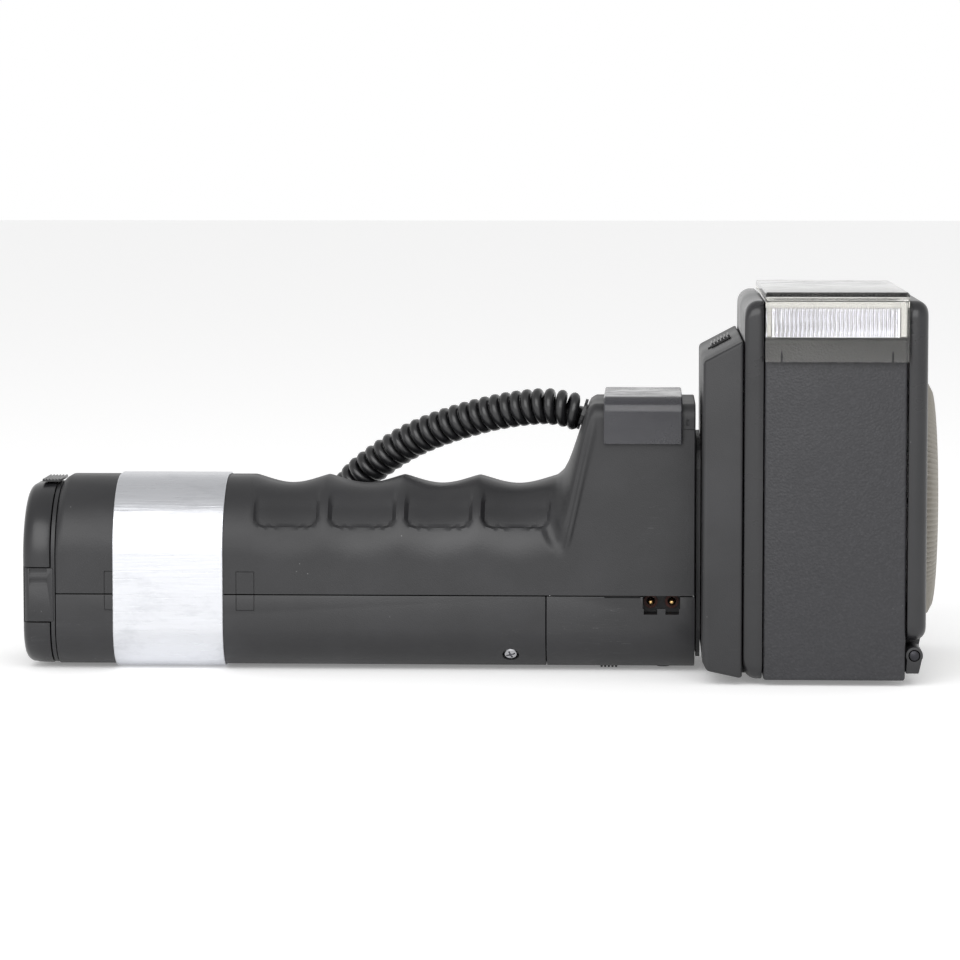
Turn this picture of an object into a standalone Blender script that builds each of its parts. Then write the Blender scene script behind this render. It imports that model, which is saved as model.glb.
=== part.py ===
"""Handle-mount electronic flash, lying on its back.

+X runs along the handle towards the top of the lamp head, +Z is the front of the flash, where its light
leaves, and +Y is the side that carries the sync cord. The origin is under the middle of the flash, at its
lowest point. Lengths are written in millimetres and become metres when a mesh is made.
"""

import math

import bmesh
import bpy
from mathutils import Matrix, Vector

MM = 0.001
GAP = 0.3
ARC_STEPS = 5

# Handle
HANDLE_HALF = 23.0
HANDLE_BACK = 0.75
HANDLE_FRONT = 52.0
HANDLE_START = -115.3
END_DROP, END_ROUND = 1.7, 2.4
HANDLE_END = 59.4
FRONT_RADIUS = 20.0
BACK_RADIUS = 11.0
WALL = 2.2
SEAM = 21.0
COVER_SPLIT = 18.9
SHOULDER_FRONT = 73.4
SHOULDER_RADIUS = 4.0
SHOULDER_PROFILE = (
    (21.5, 52.0), (23.3, 53.4), (24.7, 56.0), (25.8, 59.0), (29.6, 70.4), (30.5, 72.4), (32.0, 73.4),
)
FINGER_RIDGES = (-62.5, -42.0, -21.0, 0.0, 21.5)
FINGER_DEPTH = 2.3
BAND_START, BAND_END = -99.6, -69.4
SCREW_X, SCREW_LEAN = 9.2, math.radians(48)
SOCKET_START, SOCKET_END = 45.2, 55.4
SOCKET_PINS = (47.4, 53.2)
POWER_START, TEST_START, CONTROL_Y = 33.6, 48.8, -8.0
LAMP_PLACE = (50.9, 9.0)

# Battery cassette
CAP_START, CAP_END = -124.6, -117.0
COLLAR_START = -116.6
TONGUE_START, TONGUE_LOW, TONGUE_HIGH = -123.9, 13.0, 28.3
TRAY_START, TRAY_END = -121.7, -59.4
CELL_RADIUS, CELL_LENGTH = 7.1, 50.0
CELL_MIDDLE = 24.7
CELL_START = -110.9

# Neck and head
SWIVEL_Z = 37.0
SPIGOT_RADIUS = 9.0
NECK_START, NECK_END = 61.1, 71.7
HEAD_START, HEAD_END = 72.0, 115.0
HEAD_HALF = 47.0
HEAD_BACK, HEAD_FRONT = 1.35, 102.4
RIM_WIDTH = 5.0
TILT_X, TILT_Z = HEAD_START + 4.5, HEAD_BACK + 4.5
EAR_INNER, EAR_OUTER = 24.6, 33.4
LENS_BACK = 92.6
CHAMFER_LOW, CHAMFER_HIGH = 86.7, 92.3
COVER_START, COVER_END = 115.5, 120.6
COVER_BACK = 11.8
COVER_PIN_X, COVER_PIN_Z = 117.5, 8.0
DIAL_Z, DIAL_RADIUS = 46.2, 33.0
DIAL_FACE = 124.6

# Sync cord
COIL_RADIUS = 5.15
WIRE_RADIUS = 1.4
CORD_EXIT = Vector((29.1, 0.0, 68.9))
CORD_DIRECTION = Vector((-3.0, 0.0, 1.0)).normalized()
COIL_ROUTE = (
    (27.4, 0.0, 69.47), (23.4, 0.3, 70.6), (16.6, 2.0, 71.1), (4.2, 6.5, 69.1), (-9.7, 12.0, 64.9),
    (-21.6, 17.5, 59.5), (-32.6, 22.5, 51.9), (-38.0, 27.0, 46.4), (-43.5, 30.0, 38.0), (-48.0, 31.5, 29.0),
    (-53.5, 32.5, 19.5), (-61.0, 33.5, 10.5), (-70.0, 34.5, 6.4), (-79.0, 35.5, 5.6),
)
TAIL_ROUTE = (
    (-79.4, 35.6, 1.9), (-86.0, 36.6, 1.7), (-92.0, 37.8, 1.8), (-97.0, 38.8, 2.8), (-102.0, 39.4, 4.1),
)

BLACK = (0.035, 0.035, 0.038)
GLOSS_BLACK = (0.02, 0.02, 0.022)
ALUMINIUM = (0.80, 0.81, 0.83)
STEEL = (0.55, 0.55, 0.56)
BRASS = (0.72, 0.48, 0.20)
CLEAR = (0.86, 0.86, 0.84)
PIVOTS = {}


def material(name, colour, roughness, metallic=0.0, alpha=1.0):
    made = bpy.data.materials.new(name)
    made.use_nodes = True
    shader = made.node_tree.nodes["Principled BSDF"]
    shader.inputs["Base Color"].default_value = (*colour, 1.0)
    shader.inputs["Roughness"].default_value = roughness
    shader.inputs["Metallic"].default_value = metallic
    shader.inputs["Alpha"].default_value = alpha
    made.diffuse_color = (*colour, alpha)
    return made


def pivot(name, location, parent=None):
    """An empty on a joint's axis; the pieces of that moving body hang from it."""
    empty = bpy.data.objects.new("pivot_" + name, None)
    bpy.context.collection.objects.link(empty)
    where = Vector(location) * MM
    empty.location = where
    if parent:
        holder, holder_place = PIVOTS[parent]
        empty.parent = holder
        empty.location = where - holder_place
    PIVOTS[name] = (empty, where)


def add_object(name, mesh, finish, body=None, smooth=True):
    if smooth:
        mesh.shade_smooth()
        mesh.set_sharp_from_angle(angle=math.radians(35))
    item = bpy.data.objects.new(name, mesh)
    bpy.context.collection.objects.link(item)
    mesh.materials.append(finish)
    if body:
        item.parent, place = PIVOTS[body]
        item.matrix_parent_inverse = Matrix.Translation(-place)
    return item


def loft(name, rings, finish, body=None, closed=False, smooth=True):
    """One body skinned over rings of equal point count, capped at both ends or closed on itself."""
    bm = bmesh.new()
    loops = [[bm.verts.new(Vector(point) * MM) for point in ring] for ring in rings]
    pairs = list(zip(loops, loops[1:]))
    if closed:
        pairs.append((loops[-1], loops[0]))
    else:
        bm.faces.new(loops[0])
        bm.faces.new(loops[-1])
    for first, second in pairs:
        for i in range(len(first)):
            j = (i + 1) % len(first)
            bm.faces.new((first[i], first[j], second[j], second[i]))
    bmesh.ops.recalc_face_normals(bm, faces=bm.faces[:])
    mesh = bpy.data.meshes.new(name)
    bm.to_mesh(mesh)
    bm.free()
    return add_object(name, mesh, finish, body, smooth)


def along(axis, level, points):
    """Places flat points on the plane across an axis: X takes (y, z), Y takes (x, z) and Z takes (x, y)."""
    if axis == "X":
        return [(level, a, b) for a, b in points]
    if axis == "Y":
        return [(a, level, b) for a, b in points]
    return [(a, b, level) for a, b in points]


def prism(name, axis, points, start, stop, finish, body=None, smooth=False):
    rings = [along(axis, level, points) for level in (start, stop)]
    return loft(name, rings, finish, body, smooth=smooth)


def block(name, low, high, finish, body=None):
    corners = ((low[0], low[1]), (high[0], low[1]), (high[0], high[1]), (low[0], high[1]))
    return prism(name, "Z", corners, low[2], high[2], finish, body)


def circle(centre, radius, count=24):
    angles = [2 * math.pi * i / count for i in range(count)]
    return [(centre[0] + radius * math.cos(a), centre[1] + radius * math.sin(a)) for a in angles]


def cylinder(name, axis, centre, radius, start, stop, finish, body=None, count=24):
    return prism(name, axis, circle(centre, radius, count), start, stop, finish, body, smooth=True)


def turned(name, axis, centre, profile, finish, body=None, closed=False, count=24):
    """Rings of the given (level, radius) stations about an axis."""
    rings = [along(axis, level, circle(centre, radius, count)) for level, radius in profile]
    return loft(name, rings, finish, body, closed=closed)


def sleeve(name, axis, centre, outer, inner, start, stop, finish, body=None, count=24):
    profile = ((start, outer), (stop, outer), (stop, inner), (start, inner))
    return turned(name, axis, centre, profile, finish, body, closed=True, count=count)


def cut(target, cutter):
    cutter.hide_render = True
    cutter.display_type = "WIRE"
    knife = target.modifiers.new("cut", "BOOLEAN")
    knife.operation = "DIFFERENCE"
    knife.solver = "EXACT"
    knife.object = cutter


def cut_block(target, name, low, high):
    cut(target, block("cutter_" + name, low, high, target.data.materials[0]))


def cut_hole(target, name, axis, centre, radius, start, stop, count=24):
    finish = target.data.materials[0]
    cut(target, cylinder("cutter_" + name, axis, centre, radius, start, stop, finish, count=count))


def soften(item, width):
    edge = item.modifiers.new("soft_edges", "BEVEL")
    edge.width = width * MM
    edge.segments = 2
    edge.limit_method = "ANGLE"
    edge.angle_limit = math.radians(50)
    edge.use_clamp_overlap = True


def arc(centre, radius, start, stop, steps=ARC_STEPS):
    angles = [math.radians(start + (stop - start) * i / steps) for i in range(steps + 1)]
    return [(centre[0] + radius * math.cos(a), centre[1] + radius * math.sin(a)) for a in angles]


def outline(half, low, high, low_radius, high_radius):
    """Rounded rectangle in (y, z), from the back right corner round over the front."""
    points = arc((half - low_radius, low + low_radius), low_radius, -90, 0)
    points += arc((half - high_radius, high - high_radius), high_radius, 0, 90)
    points += arc((high_radius - half, high - high_radius), high_radius, 90, 180)
    return points + arc((low_radius - half, low + low_radius), low_radius, 180, 270)


def handle_outline(offset, drop=0.0):
    """The handle's section grown by an offset, its front lowered by the drop."""
    return outline(HANDLE_HALF + offset, HANDLE_BACK - offset, HANDLE_FRONT + offset - drop,
                   BACK_RADIUS + offset, FRONT_RADIUS + offset)


def front_arch(half, level, high, radius):
    points = [(half, level)] + arc((half - radius, high - radius), radius, 0, 90)
    return points + arc((radius - half, high - radius), radius, 90, 180) + [(-half, level)]


def back_arch(offset, level):
    half, low, radius = HANDLE_HALF + offset, HANDLE_BACK - offset, BACK_RADIUS + offset
    points = [(-half, level)] + arc((radius - half, low + radius), radius, 180, 270)
    return points + arc((half - radius, low + radius), radius, 270, 360) + [(half, level)]


def smooth_step(value, start, stop):
    t = min(max((value - start) / (stop - start), 0.0), 1.0)
    return t * t * (3 - 2 * t)


def front_height(x):
    """Height of the handle's front at x: rounded end, finger grooves, then the shoulder's slanted end."""
    if x < HANDLE_START + END_ROUND:
        return HANDLE_FRONT - END_DROP * (1 - max(x - HANDLE_START, 0.0) / END_ROUND) ** 2
    for left, right in zip(FINGER_RIDGES, FINGER_RIDGES[1:]):
        if left < x < right:
            share = (x - left) / (right - left)
            return HANDLE_FRONT - FINGER_DEPTH * math.sin(math.pi * share) ** 1.2
    for (left, low), (right, high) in zip(SHOULDER_PROFILE, SHOULDER_PROFILE[1:]):
        if left <= x < right:
            return low + (high - low) * (x - left) / (right - left)
    return HANDLE_FRONT if x <= FINGER_RIDGES[-1] else SHOULDER_FRONT


def handle_stations():
    stations = [HANDLE_START, HANDLE_START + 0.4 * END_ROUND, HANDLE_START + END_ROUND, BAND_START, BAND_END]
    for left, right in zip(FINGER_RIDGES, FINGER_RIDGES[1:]):
        stations += [left + (right - left) * i / 5 for i in range(5)]
    return stations + [x for x, _ in SHOULDER_PROFILE] + [SHOULDER_PROFILE[-1][0] + WALL, HANDLE_END]


def make_handle(black, aluminium):
    rings = []
    for x in handle_stations():
        high = front_height(x)
        blend = smooth_step(x, SHOULDER_PROFILE[0][0] - 2, SHOULDER_PROFILE[-1][0])
        radius = FRONT_RADIUS + (SHOULDER_RADIUS - FRONT_RADIUS) * blend
        level = SEAM + GAP / 2
        outer = front_arch(HANDLE_HALF, level, high, radius)
        inside = min(high, front_height(x - WALL)) - WALL
        inner = front_arch(HANDLE_HALF - WALL, level, inside, max(radius - WALL, 1.0))
        rings.append(along("X", x, outer + inner[::-1]))
    shell = loft("handle_shell", rings, black)
    cut_block(shell, "subflash_seat", (34.9, -30, 66.5), (55.7, 30, 80))
    make_tilted_cylinder("cutter_cord_hole", 3.3, -6.0, 6.0, black, cutter_of=shell)

    level = SEAM - GAP / 2
    profile = back_arch(0.0, level) + back_arch(-WALL, level)[::-1]
    rear = prism("rear_cover", "X", profile, HANDLE_START, COVER_SPLIT - GAP / 2, black, smooth=True)
    control = prism("control_cover", "X", profile, COVER_SPLIT + GAP / 2, HANDLE_END, black, smooth=True)
    for side, sign in (("near", -1), ("far", 1)):
        make_cover_screw(rear, side, sign)
    cut_block(control, "socket_mouth", (SOCKET_START, -24, 16.0), (SOCKET_END, -20, 22))
    power_end, test_end = POWER_START + 8.8, TEST_START + 4.5
    cut_block(control, "power_slot", (POWER_START - GAP, CONTROL_Y - 2.9, -1), (power_end, CONTROL_Y + 2.9, 5))
    cut_block(control, "test_slot", (TEST_START - GAP, CONTROL_Y - 2.5, -1), (test_end, CONTROL_Y + 2.5, 5))
    cut_hole(control, "lamp_hole", "Z", LAMP_PLACE, 2.3, -1, 5, count=16)

    band = [along("X", BAND_START, handle_outline(0.5)), along("X", BAND_END, handle_outline(0.5)),
            along("X", BAND_END, handle_outline(0.1)), along("X", BAND_START, handle_outline(0.1))]
    loft("grip_band", band, aluminium, closed=True)


def make_cover_screw(rear, side, sign):
    """A countersunk screw square to the rounded back edge of the handle."""
    outwards = Vector((0, sign * math.sin(SCREW_LEAN), -math.cos(SCREW_LEAN)))
    foot = Vector((SCREW_X, sign * (HANDLE_HALF - BACK_RADIUS), HANDLE_BACK + BACK_RADIUS))
    turn = Vector((0, 0, 1)).rotation_difference(outwards).to_matrix()

    def rings(profile):
        placed = []
        for level, radius in profile:
            ring = along("Z", level, circle((0, 0), radius, 16))
            placed.append([turn @ Vector(point) + foot for point in ring])
        return placed

    finish = material("screw_" + side, STEEL, 0.35, 1.0)
    cut(rear, loft("cutter_screw_seat_" + side, rings(((7.0, 2.3), (13.0, 2.3))), finish))
    loft("cover_screw_" + side, rings(((4.0, 1.2), (9.4, 1.2), (9.6, 1.9), (10.8, 1.9))), finish)


def make_tilted_cylinder(name, radius, start, stop, finish, cutter_of=None, inner=0.0):
    """A cylinder or sleeve about the cord's way out of the shoulder; start and stop are measured outwards."""
    profile = [(start, radius), (stop, radius)]
    if inner:
        profile = [(start, 3.0), (0.3, 3.0), (0.3, radius), (stop, radius), (stop, inner), (start, inner)]
    turn = Vector((0, 0, 1)).rotation_difference(CORD_DIRECTION).to_matrix()
    rings = []
    for level, size in profile:
        ring = along("Z", level, circle((0, 0), size, 20))
        rings.append([turn @ Vector(point) + CORD_EXIT for point in ring])
    made = loft(name, rings, finish, closed=bool(inner))
    if cutter_of:
        cut(cutter_of, made)


def make_chamber_collar(black):
    """End collar of the battery chamber with the two fixed side tongues between the cap's lids."""
    stop = HANDLE_START - GAP
    outer, inner = handle_outline(-0.4, END_DROP), handle_outline(-WALL, END_DROP)
    rings = [along("X", COLLAR_START, outer), along("X", stop, outer),
             along("X", stop, inner), along("X", COLLAR_START, inner)]
    collar = loft("chamber_collar", rings, black, closed=True)
    for side, sign in (("near", -1), ("far", 1)):
        inside, outside = sign * 20.9, sign * 22.9
        root = COLLAR_START + 0.6
        plan = ((TONGUE_START, inside), (root, inside), (root, outside), (TONGUE_START, outside))
        tongue = prism("cutter_tongue_" + side, "Z", plan, TONGUE_LOW + GAP, TONGUE_HIGH - GAP, black)
        cut(collar, tongue)
        collar.modifiers[-1].operation = "UNION"


def make_sync_socket(black, brass):
    low, high = (SOCKET_START - 1.1, -20.4, 10.0), (SOCKET_END + 1.1, -10.0, 20.4)
    seat = block("sync_socket_block", low, high, black)
    cut_block(seat, "socket_pocket", (SOCKET_START, -22, 15.8), (SOCKET_END, -14.0, 22))
    for side, x in zip(("left", "right"), SOCKET_PINS):
        cut_hole(seat, "pin_hole_" + side, "Y", (x, 18.8), 1.1, -15, -9, count=12)
        cylinder("socket_pin_" + side, "Y", (x, 18.8), 0.8, -17.4, -8.5, brass, count=12)


def make_electronics(steel):
    sleeve_colour = material("capacitor_sleeve", (0.03, 0.05, 0.16), 0.3)
    turned("main_capacitor", "X", (0, 25), ((-52, 15.2), (-51, 16), (11, 16), (12, 15.2)), sleeve_colour)
    block("circuit_board", (30.0, 7.2, 6.0), (50.5, 8.8, 60.0), material("board", (0.25, 0.15, 0.04), 0.5))
    core_yellow = material("transformer_core", (0.55, 0.42, 0.08), 0.5)
    core = block("transformer", (31, -14, 40), (45, 4, 54), core_yellow)
    soften(core, 0.8)
    plate = prism("battery_contact_plate", "X", outline(20.0, 3.9, 46.9, 8.4, 17.2), -56.6, -54.8,
                  material("contact_board", (0.10, 0.09, 0.07), 0.6))
    for side, y in (("near", -8.15), ("far", 8.15)):
        cut_hole(plate, "stud_hole_" + side, "X", (y, 25.0), 2.3, -58, -53, count=16)
        profile = ((-57.8, 1.4), (-57.3, 2.0), (-53.4, 2.0))
        turned("contact_stud_" + side, "X", (y, 25.0), profile, steel, count=16)


def make_subflash(clear, glass, black):
    rings = []
    for z, inset in ((71.6, 1.5), (66.8, 1.5), (66.8, 0.0), (73.2, 0.0)):
        rings.append(rectangle("Z", z, 35.2 + inset, 55.4 - inset, 22.8 - inset))
    loft("subflash_window", rings, clear, smooth=False)
    cylinder("subflash_tube", "Y", (41.0, 69.0), 1.6, -14, 14, glass, count=12)
    turned("photocell", "Z", (50.5, 0.0), ((64.0, 2.4), (69.8, 2.4), (70.4, 1.8)), black, count=16)


def rectangle(axis, level, low, high, half):
    return along(axis, level, ((low, -half), (high, -half), (high, half), (low, half)))


def make_swivel(black, steel):
    section = outline(20.4, 3.3, 70.8, 8.4, 2.4)
    bulkhead = prism("swivel_bulkhead", "X", section, 56.9, 58.9, black, smooth=True)
    cut_hole(bulkhead, "spigot_hole", "X", (0, SWIVEL_Z), SPIGOT_RADIUS + GAP, 50, 62, count=32)
    washer = prism("swivel_washer", "X", outline(20.4, 3.3, 64.0, 8.4, 8.4), 59.7, 60.8, black, smooth=True)
    cut_hole(washer, "washer_hole", "X", (0, SWIVEL_Z), SPIGOT_RADIUS + GAP, 50, 62, count=32)
    bore = SPIGOT_RADIUS + GAP
    clip = sleeve("swivel_clip", "X", (0, SWIVEL_Z), 12.5, bore, 53.6, 55.2, steel, "neck", count=32)
    cut_block(clip, "clip_mouth", (52, -2.5, SWIVEL_Z + 5), (57, 2.5, SWIVEL_Z + 15))


def sloped(point_along, height, start=(NECK_START, CHAMFER_LOW), stop=(NECK_END, CHAMFER_HIGH)):
    """A point (x, z) a distance along the neck's sloped front face and a height above it."""
    run = Vector((stop[0] - start[0], stop[1] - start[1])).normalized()
    rise = Vector((-run.y, run.x))
    place = Vector(start) + run * point_along + rise * height
    return (place.x, place.y)


def make_neck(black, steel):
    face = ((NECK_START, 6.0), (NECK_START, CHAMFER_LOW), (NECK_END, CHAMFER_HIGH),
            (NECK_END, HEAD_BACK + 0.1), (NECK_START + 1.2, 3.4))
    plate = prism("neck_plate", "Y", face, -HEAD_HALF + 0.4, HEAD_HALF - 0.4, black)
    soften(plate, 1.2)
    cut_block(plate, "neck_pocket", (63.4, -44.4, 11.5), (75, 44.4, 84.0))
    slot = [sloped(along_face, height) for along_face, height in ((2.2, -6), (8.4, -6), (8.4, 2), (2.2, 2))]
    cut(plate, prism("cutter_release_slot", "Y", slot, -5.0, 5.0, black))
    spigot = sleeve("cutter_spigot", "X", (0, SWIVEL_Z), SPIGOT_RADIUS, 6.5, 52.4, 64.5, black, count=32)
    cut(plate, spigot)
    plate.modifiers[-1].operation = "UNION"
    cut_hole(plate, "cable_way", "X", (0, SWIVEL_Z), 6.5, 50, 70, count=32)
    for side, sign in (("near", -1), ("far", 1)):
        ends = sorted((sign * EAR_INNER, sign * EAR_OUTER))
        root = NECK_END - 3
        ear = [(root, TILT_Z - 4.2)] + arc((TILT_X, TILT_Z), 4.2, -90, 90, 8) + [(root, TILT_Z + 4.2)]
        cut(plate, prism("cutter_ear_" + side, "Y", ear, ends[0], ends[1], black))
        plate.modifiers[-1].operation = "UNION"
    cut_hole(plate, "ear_holes", "Y", (TILT_X, TILT_Z), 1.5, -40, 40, count=16)
    cylinder("tilt_pin", "Y", (TILT_X, TILT_Z), 1.2, -38, 38, steel, "neck", count=16)
    plate.parent, place = PIVOTS["neck"]
    plate.matrix_parent_inverse = Matrix.Translation(-place)

    key = [sloped(a, h) for a, h in ((3.2, 0.25), (9.2, 0.25), (9.2, 1.05), (3.2, 1.05))]
    stem = [sloped(a, h) for a, h in ((5.0, -2.5), (7.9, -2.5), (7.9, 0.6), (5.0, 0.6))]
    button = prism("tilt_release", "Y", key, -6.5, 6.5, black, "tilt_release")
    cut(button, prism("cutter_release_stem", "Y", stem, -4.4, 4.4, black))
    button.modifiers[-1].operation = "UNION"


def head_ring(x, side=0.0, ends=0.0, wall=0.0, corner=4.0):
    """Section of the head's rim, drawn in by one amount at its sides and another at its front and back."""
    half = HEAD_HALF - side - wall
    low, high = HEAD_BACK + ends + wall, HEAD_FRONT - ends - wall
    radius = max(corner - side - wall, 0.8)
    return along("X", x, outline(half, low, high, radius, radius))


def make_head(black, steel, clear, glass, mirror):
    rim_end = HEAD_START + RIM_WIDTH
    rings = [head_ring(HEAD_START + 2.4, wall=2.4), head_ring(rim_end, wall=2.4), head_ring(rim_end),
             head_ring(HEAD_START + 3.6), head_ring(HEAD_START + 1.4, ends=0.9),
             head_ring(HEAD_START + 0.4, side=0.2, ends=2.2), head_ring(HEAD_START, side=0.9, ends=3.6)]
    base = loft("head_base", rings, black, "head")
    case = block("head_case", (rim_end + GAP, -HEAD_HALF, HEAD_BACK), (HEAD_END, HEAD_HALF, LENS_BACK - GAP),
                 black, "head")
    soften(case, 1.0)
    cut_block(case, "case_inside", (70, -45, HEAD_BACK + 2), (HEAD_END - 2, 45, 110))
    for side, sign in (("near", -1), ("far", 1)):
        inner, outer = sorted((sign * (EAR_OUTER + GAP), sign * (EAR_OUTER + 5)))
        lug = prism("cutter_lug_" + side, "Y", ((HEAD_START + 1.2, 4.2), (81.0, 4.2), (81.0, 10.0),
                                                 (HEAD_START + 1.2, 10.0)), inner, outer, black)
        cut(base, lug)
        base.modifiers[-1].operation = "UNION"
    for side, sign in (("near", -1), ("far", 1)):
        inner, outer = sorted((sign * (EAR_INNER - GAP), sign * (EAR_OUTER + GAP)))
        low, high = (HEAD_START - 2, inner, HEAD_BACK - 2), (TILT_X + 4.8, outer, TILT_Z + 4.8)
        cut_block(base, "base_ear_notch_" + side, low, high)
        cut_block(case, "case_ear_notch_" + side, low, high)
    cut_hole(base, "lug_holes", "Y", (TILT_X, TILT_Z), 1.5, -42, 42, count=16)
    cut_hole(base, "cable_window", "X", (0, SWIVEL_Z), 9.0, HEAD_START - 3, HEAD_START + 4, count=24)

    lens_low, lens_high = rim_end + GAP, HEAD_END
    lens = []
    for z, inset in ((HEAD_FRONT - 2.0, 1.8), (LENS_BACK, 1.8), (LENS_BACK, 0.0), (HEAD_FRONT, 0.0)):
        lens.append(rectangle("Z", z, lens_low + inset, lens_high - inset, HEAD_HALF - 0.6 - inset))
    soften(loft("front_lens", lens, clear, "head", smooth=False), 0.5)

    centre, depth, half_mouth = (rim_end + HEAD_END) / 2, 26.0, 15.5
    trough = []
    for i in range(-8, 9):
        share = i / 8
        trough.append((centre + half_mouth * share, LENS_BACK - 1.5 - depth * (1 - share * share)))
    thick = [(x + 0.9 * (x > centre) - 0.9 * (x < centre), z - 1.0) for x, z in trough]
    prism("reflector", "Y", trough + thick[::-1], -42.5, 42.5, mirror, "head", smooth=True)
    tube_z = LENS_BACK - 1.5 - depth + 7.0
    cylinder("flash_tube", "Y", (centre, tube_z), 2.6, -36, 36, glass, "head", count=20)
    for side, sign in (("near", -1), ("far", 1)):
        ends = sorted((sign * 36.3, sign * 41.5))
        cylinder("tube_cap_" + side, "Y", (centre, tube_z), 3.1, ends[0], ends[1], steel, "head", count=20)
    coil_colour = material("coil_lacquer", (0.30, 0.07, 0.02), 0.4)
    sleeve("trigger_coil", "Y", (centre, 40.0), 6.0, 2.0, -9, 9, coil_colour, "head", count=20)


def knuckle_outline(tail):
    """Barrel of the cover hinge seen along its pin, with the leaf that fastens it."""
    centre = (COVER_PIN_X, COVER_PIN_Z)
    if tail == "case":
        return arc(centre, 2.3, -30, 210, 10) + [(HEAD_END + GAP, 3.2), (COVER_PIN_X + 1.2, 3.2)]
    top = COVER_BACK - GAP
    return arc(centre, 2.3, 150, 390, 10) + [(COVER_END - 0.6, top), (COVER_START + 0.3, top)]


def make_cover(black, steel, ivory):
    for side, sign in (("near", -1), ("far", 1)):
        ends = sorted((sign * 33.0, sign * 46.0))
        leaf = prism("hinge_leaf_" + side, "Y", knuckle_outline("case"), ends[0], ends[1], black, "head")
        cut_hole(leaf, "leaf_hole_" + side, "Y", (COVER_PIN_X, COVER_PIN_Z), 1.6, -50, 50, count=16)
    cylinder("cover_pin", "Y", (COVER_PIN_X, COVER_PIN_Z), 1.3, -46.2, 46.2, steel, "head", count=16)
    leaf = prism("cover_leaf", "Y", knuckle_outline("cover"), -32.6, 32.6, black, "cover")
    cut_hole(leaf, "cover_leaf_hole", "Y", (COVER_PIN_X, COVER_PIN_Z), 1.6, -50, 50, count=16)

    def ring(x, inset, wall=0.0):
        half = HEAD_HALF - inset - wall
        low, high = COVER_BACK + inset + wall, HEAD_FRONT - inset - wall
        radius = max(4.5 - inset - wall, 0.8)
        return along("X", x, outline(half, low, high, radius, radius))

    rings = [ring(COVER_END - 1.8, 0.0, 1.8), ring(COVER_START, 0.0, 1.8), ring(COVER_START, 0.0),
             ring(COVER_END - 3.2, 0.0), ring(COVER_END - 1.0, 1.0), ring(COVER_END, 3.4)]
    shell = loft("top_cover", rings, black, "cover")
    cut_hole(shell, "dial_hole", "X", (0, DIAL_Z), 2.0, 112, 126, count=16)
    foot, face = COVER_END + GAP, COVER_END + 1.6
    profile = ((foot, 24.5), (face, 24.5), (face, 2.6), (foot, 2.6))
    turned("dial_scale", "X", (0, DIAL_Z), profile, ivory, "cover", closed=True, count=48)
    turned("dial_rivet", "X", (0, DIAL_Z), ((COVER_END - 3.4, 1.6), (122.5, 1.6), (122.5, 4.0), (123.4, 3.4)),
           steel, "cover", count=20)
    profile = ((foot, DIAL_RADIUS), (face, DIAL_RADIUS - 0.3), (DIAL_FACE - 1.0, DIAL_RADIUS - 1.3),
               (DIAL_FACE, DIAL_RADIUS - 3.2), (DIAL_FACE, 25.2), (foot, 25.2))
    turned("dial_ring", "X", (0, DIAL_Z), profile, ivory, "dial", closed=True, count=64)


def make_slip_on(name, x_range, half, front, back, wall, corner, finish, body):
    """A clear adapter that slips on over the front: a front wall and two side walls."""
    outer = front_arch(half, back, front, corner)
    inner = front_arch(half - wall, back, front - wall, max(corner - wall, 0.6))
    prism(name, "X", outer + inner[::-1], x_range[0], x_range[1], finish, body, smooth=True)


def make_battery_cassette(black):
    def cap_ring(x, offset):
        return along("X", x, handle_outline(offset, END_DROP))

    rings = [cap_ring(CAP_START + 2.6, -3.0), cap_ring(CAP_END, -2.6), cap_ring(CAP_END, -0.1),
             cap_ring(CAP_END - 4.0, -0.3), cap_ring(CAP_START + 2.0, -1.0), cap_ring(CAP_START + 0.7, -2.2),
             cap_ring(CAP_START, -4.0)]
    cap = loft("battery_cap", rings, black, "cassette")
    for side, sign in (("near", -1), ("far", 1)):
        inner, outer = sorted((sign * 20.6, sign * 26.0))
        cut_block(cap, "tongue_slot_" + side, (-126, inner, TONGUE_LOW), (-112, outer, TONGUE_HIGH))

    tray_black = material("tray_plastic", BLACK, 0.6)
    tray = block("battery_tray", (TRAY_START, -0.55, 4.4), (TRAY_END, 0.55, 46.0), tray_black, "cassette")
    for end, start in (("cap", CELL_START - 2.5), ("inner", TRAY_END - 1.0)):
        section = outline(16.0, 4.0, 46.4, 6.0, 10.0)
        cut(tray, prism("cutter_tray_plate_" + end, "X", section, start, start + 1.9, tray_black))
        tray.modifiers[-1].operation = "UNION"
    wrap = material("cell_wrap", (0.05, 0.05, 0.06), 0.35)
    spacing = 2 * CELL_RADIUS + GAP
    number = 0
    for y in (-1, 1):
        for row in (-1, 0, 1):
            number += 1
            centre = (y * (CELL_RADIUS + 0.55 + GAP), CELL_MIDDLE + row * spacing)
            stop = CELL_START + CELL_LENGTH - 1.0
            profile = ((CELL_START, CELL_RADIUS), (stop, CELL_RADIUS), (stop, 2.6), (stop + 1.0, 2.6))
            turned("cell_%d" % number, "X", centre, profile, wrap, "cassette", count=16)


def make_latch(black):
    """Ribbed slide on the front of the cap that hooks over the end of the handle."""
    low, start, stop = HANDLE_FRONT - END_DROP + 0.2, CAP_END - 3.9, CAP_END + 1.1
    high, foot = low + 0.8, low + 0.35
    profile = [(start, low), (stop, low), (stop, high)]
    for i in range(4):
        x = stop - 0.6 - 1.1 * i
        profile += [(x, high), (x - 0.3, foot), (x - 0.6, foot), (x - 0.9, high)]
    profile += [(start, high)]
    prism("cap_latch", "Y", profile, -7.5, 7.5, black, "latch")


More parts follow.
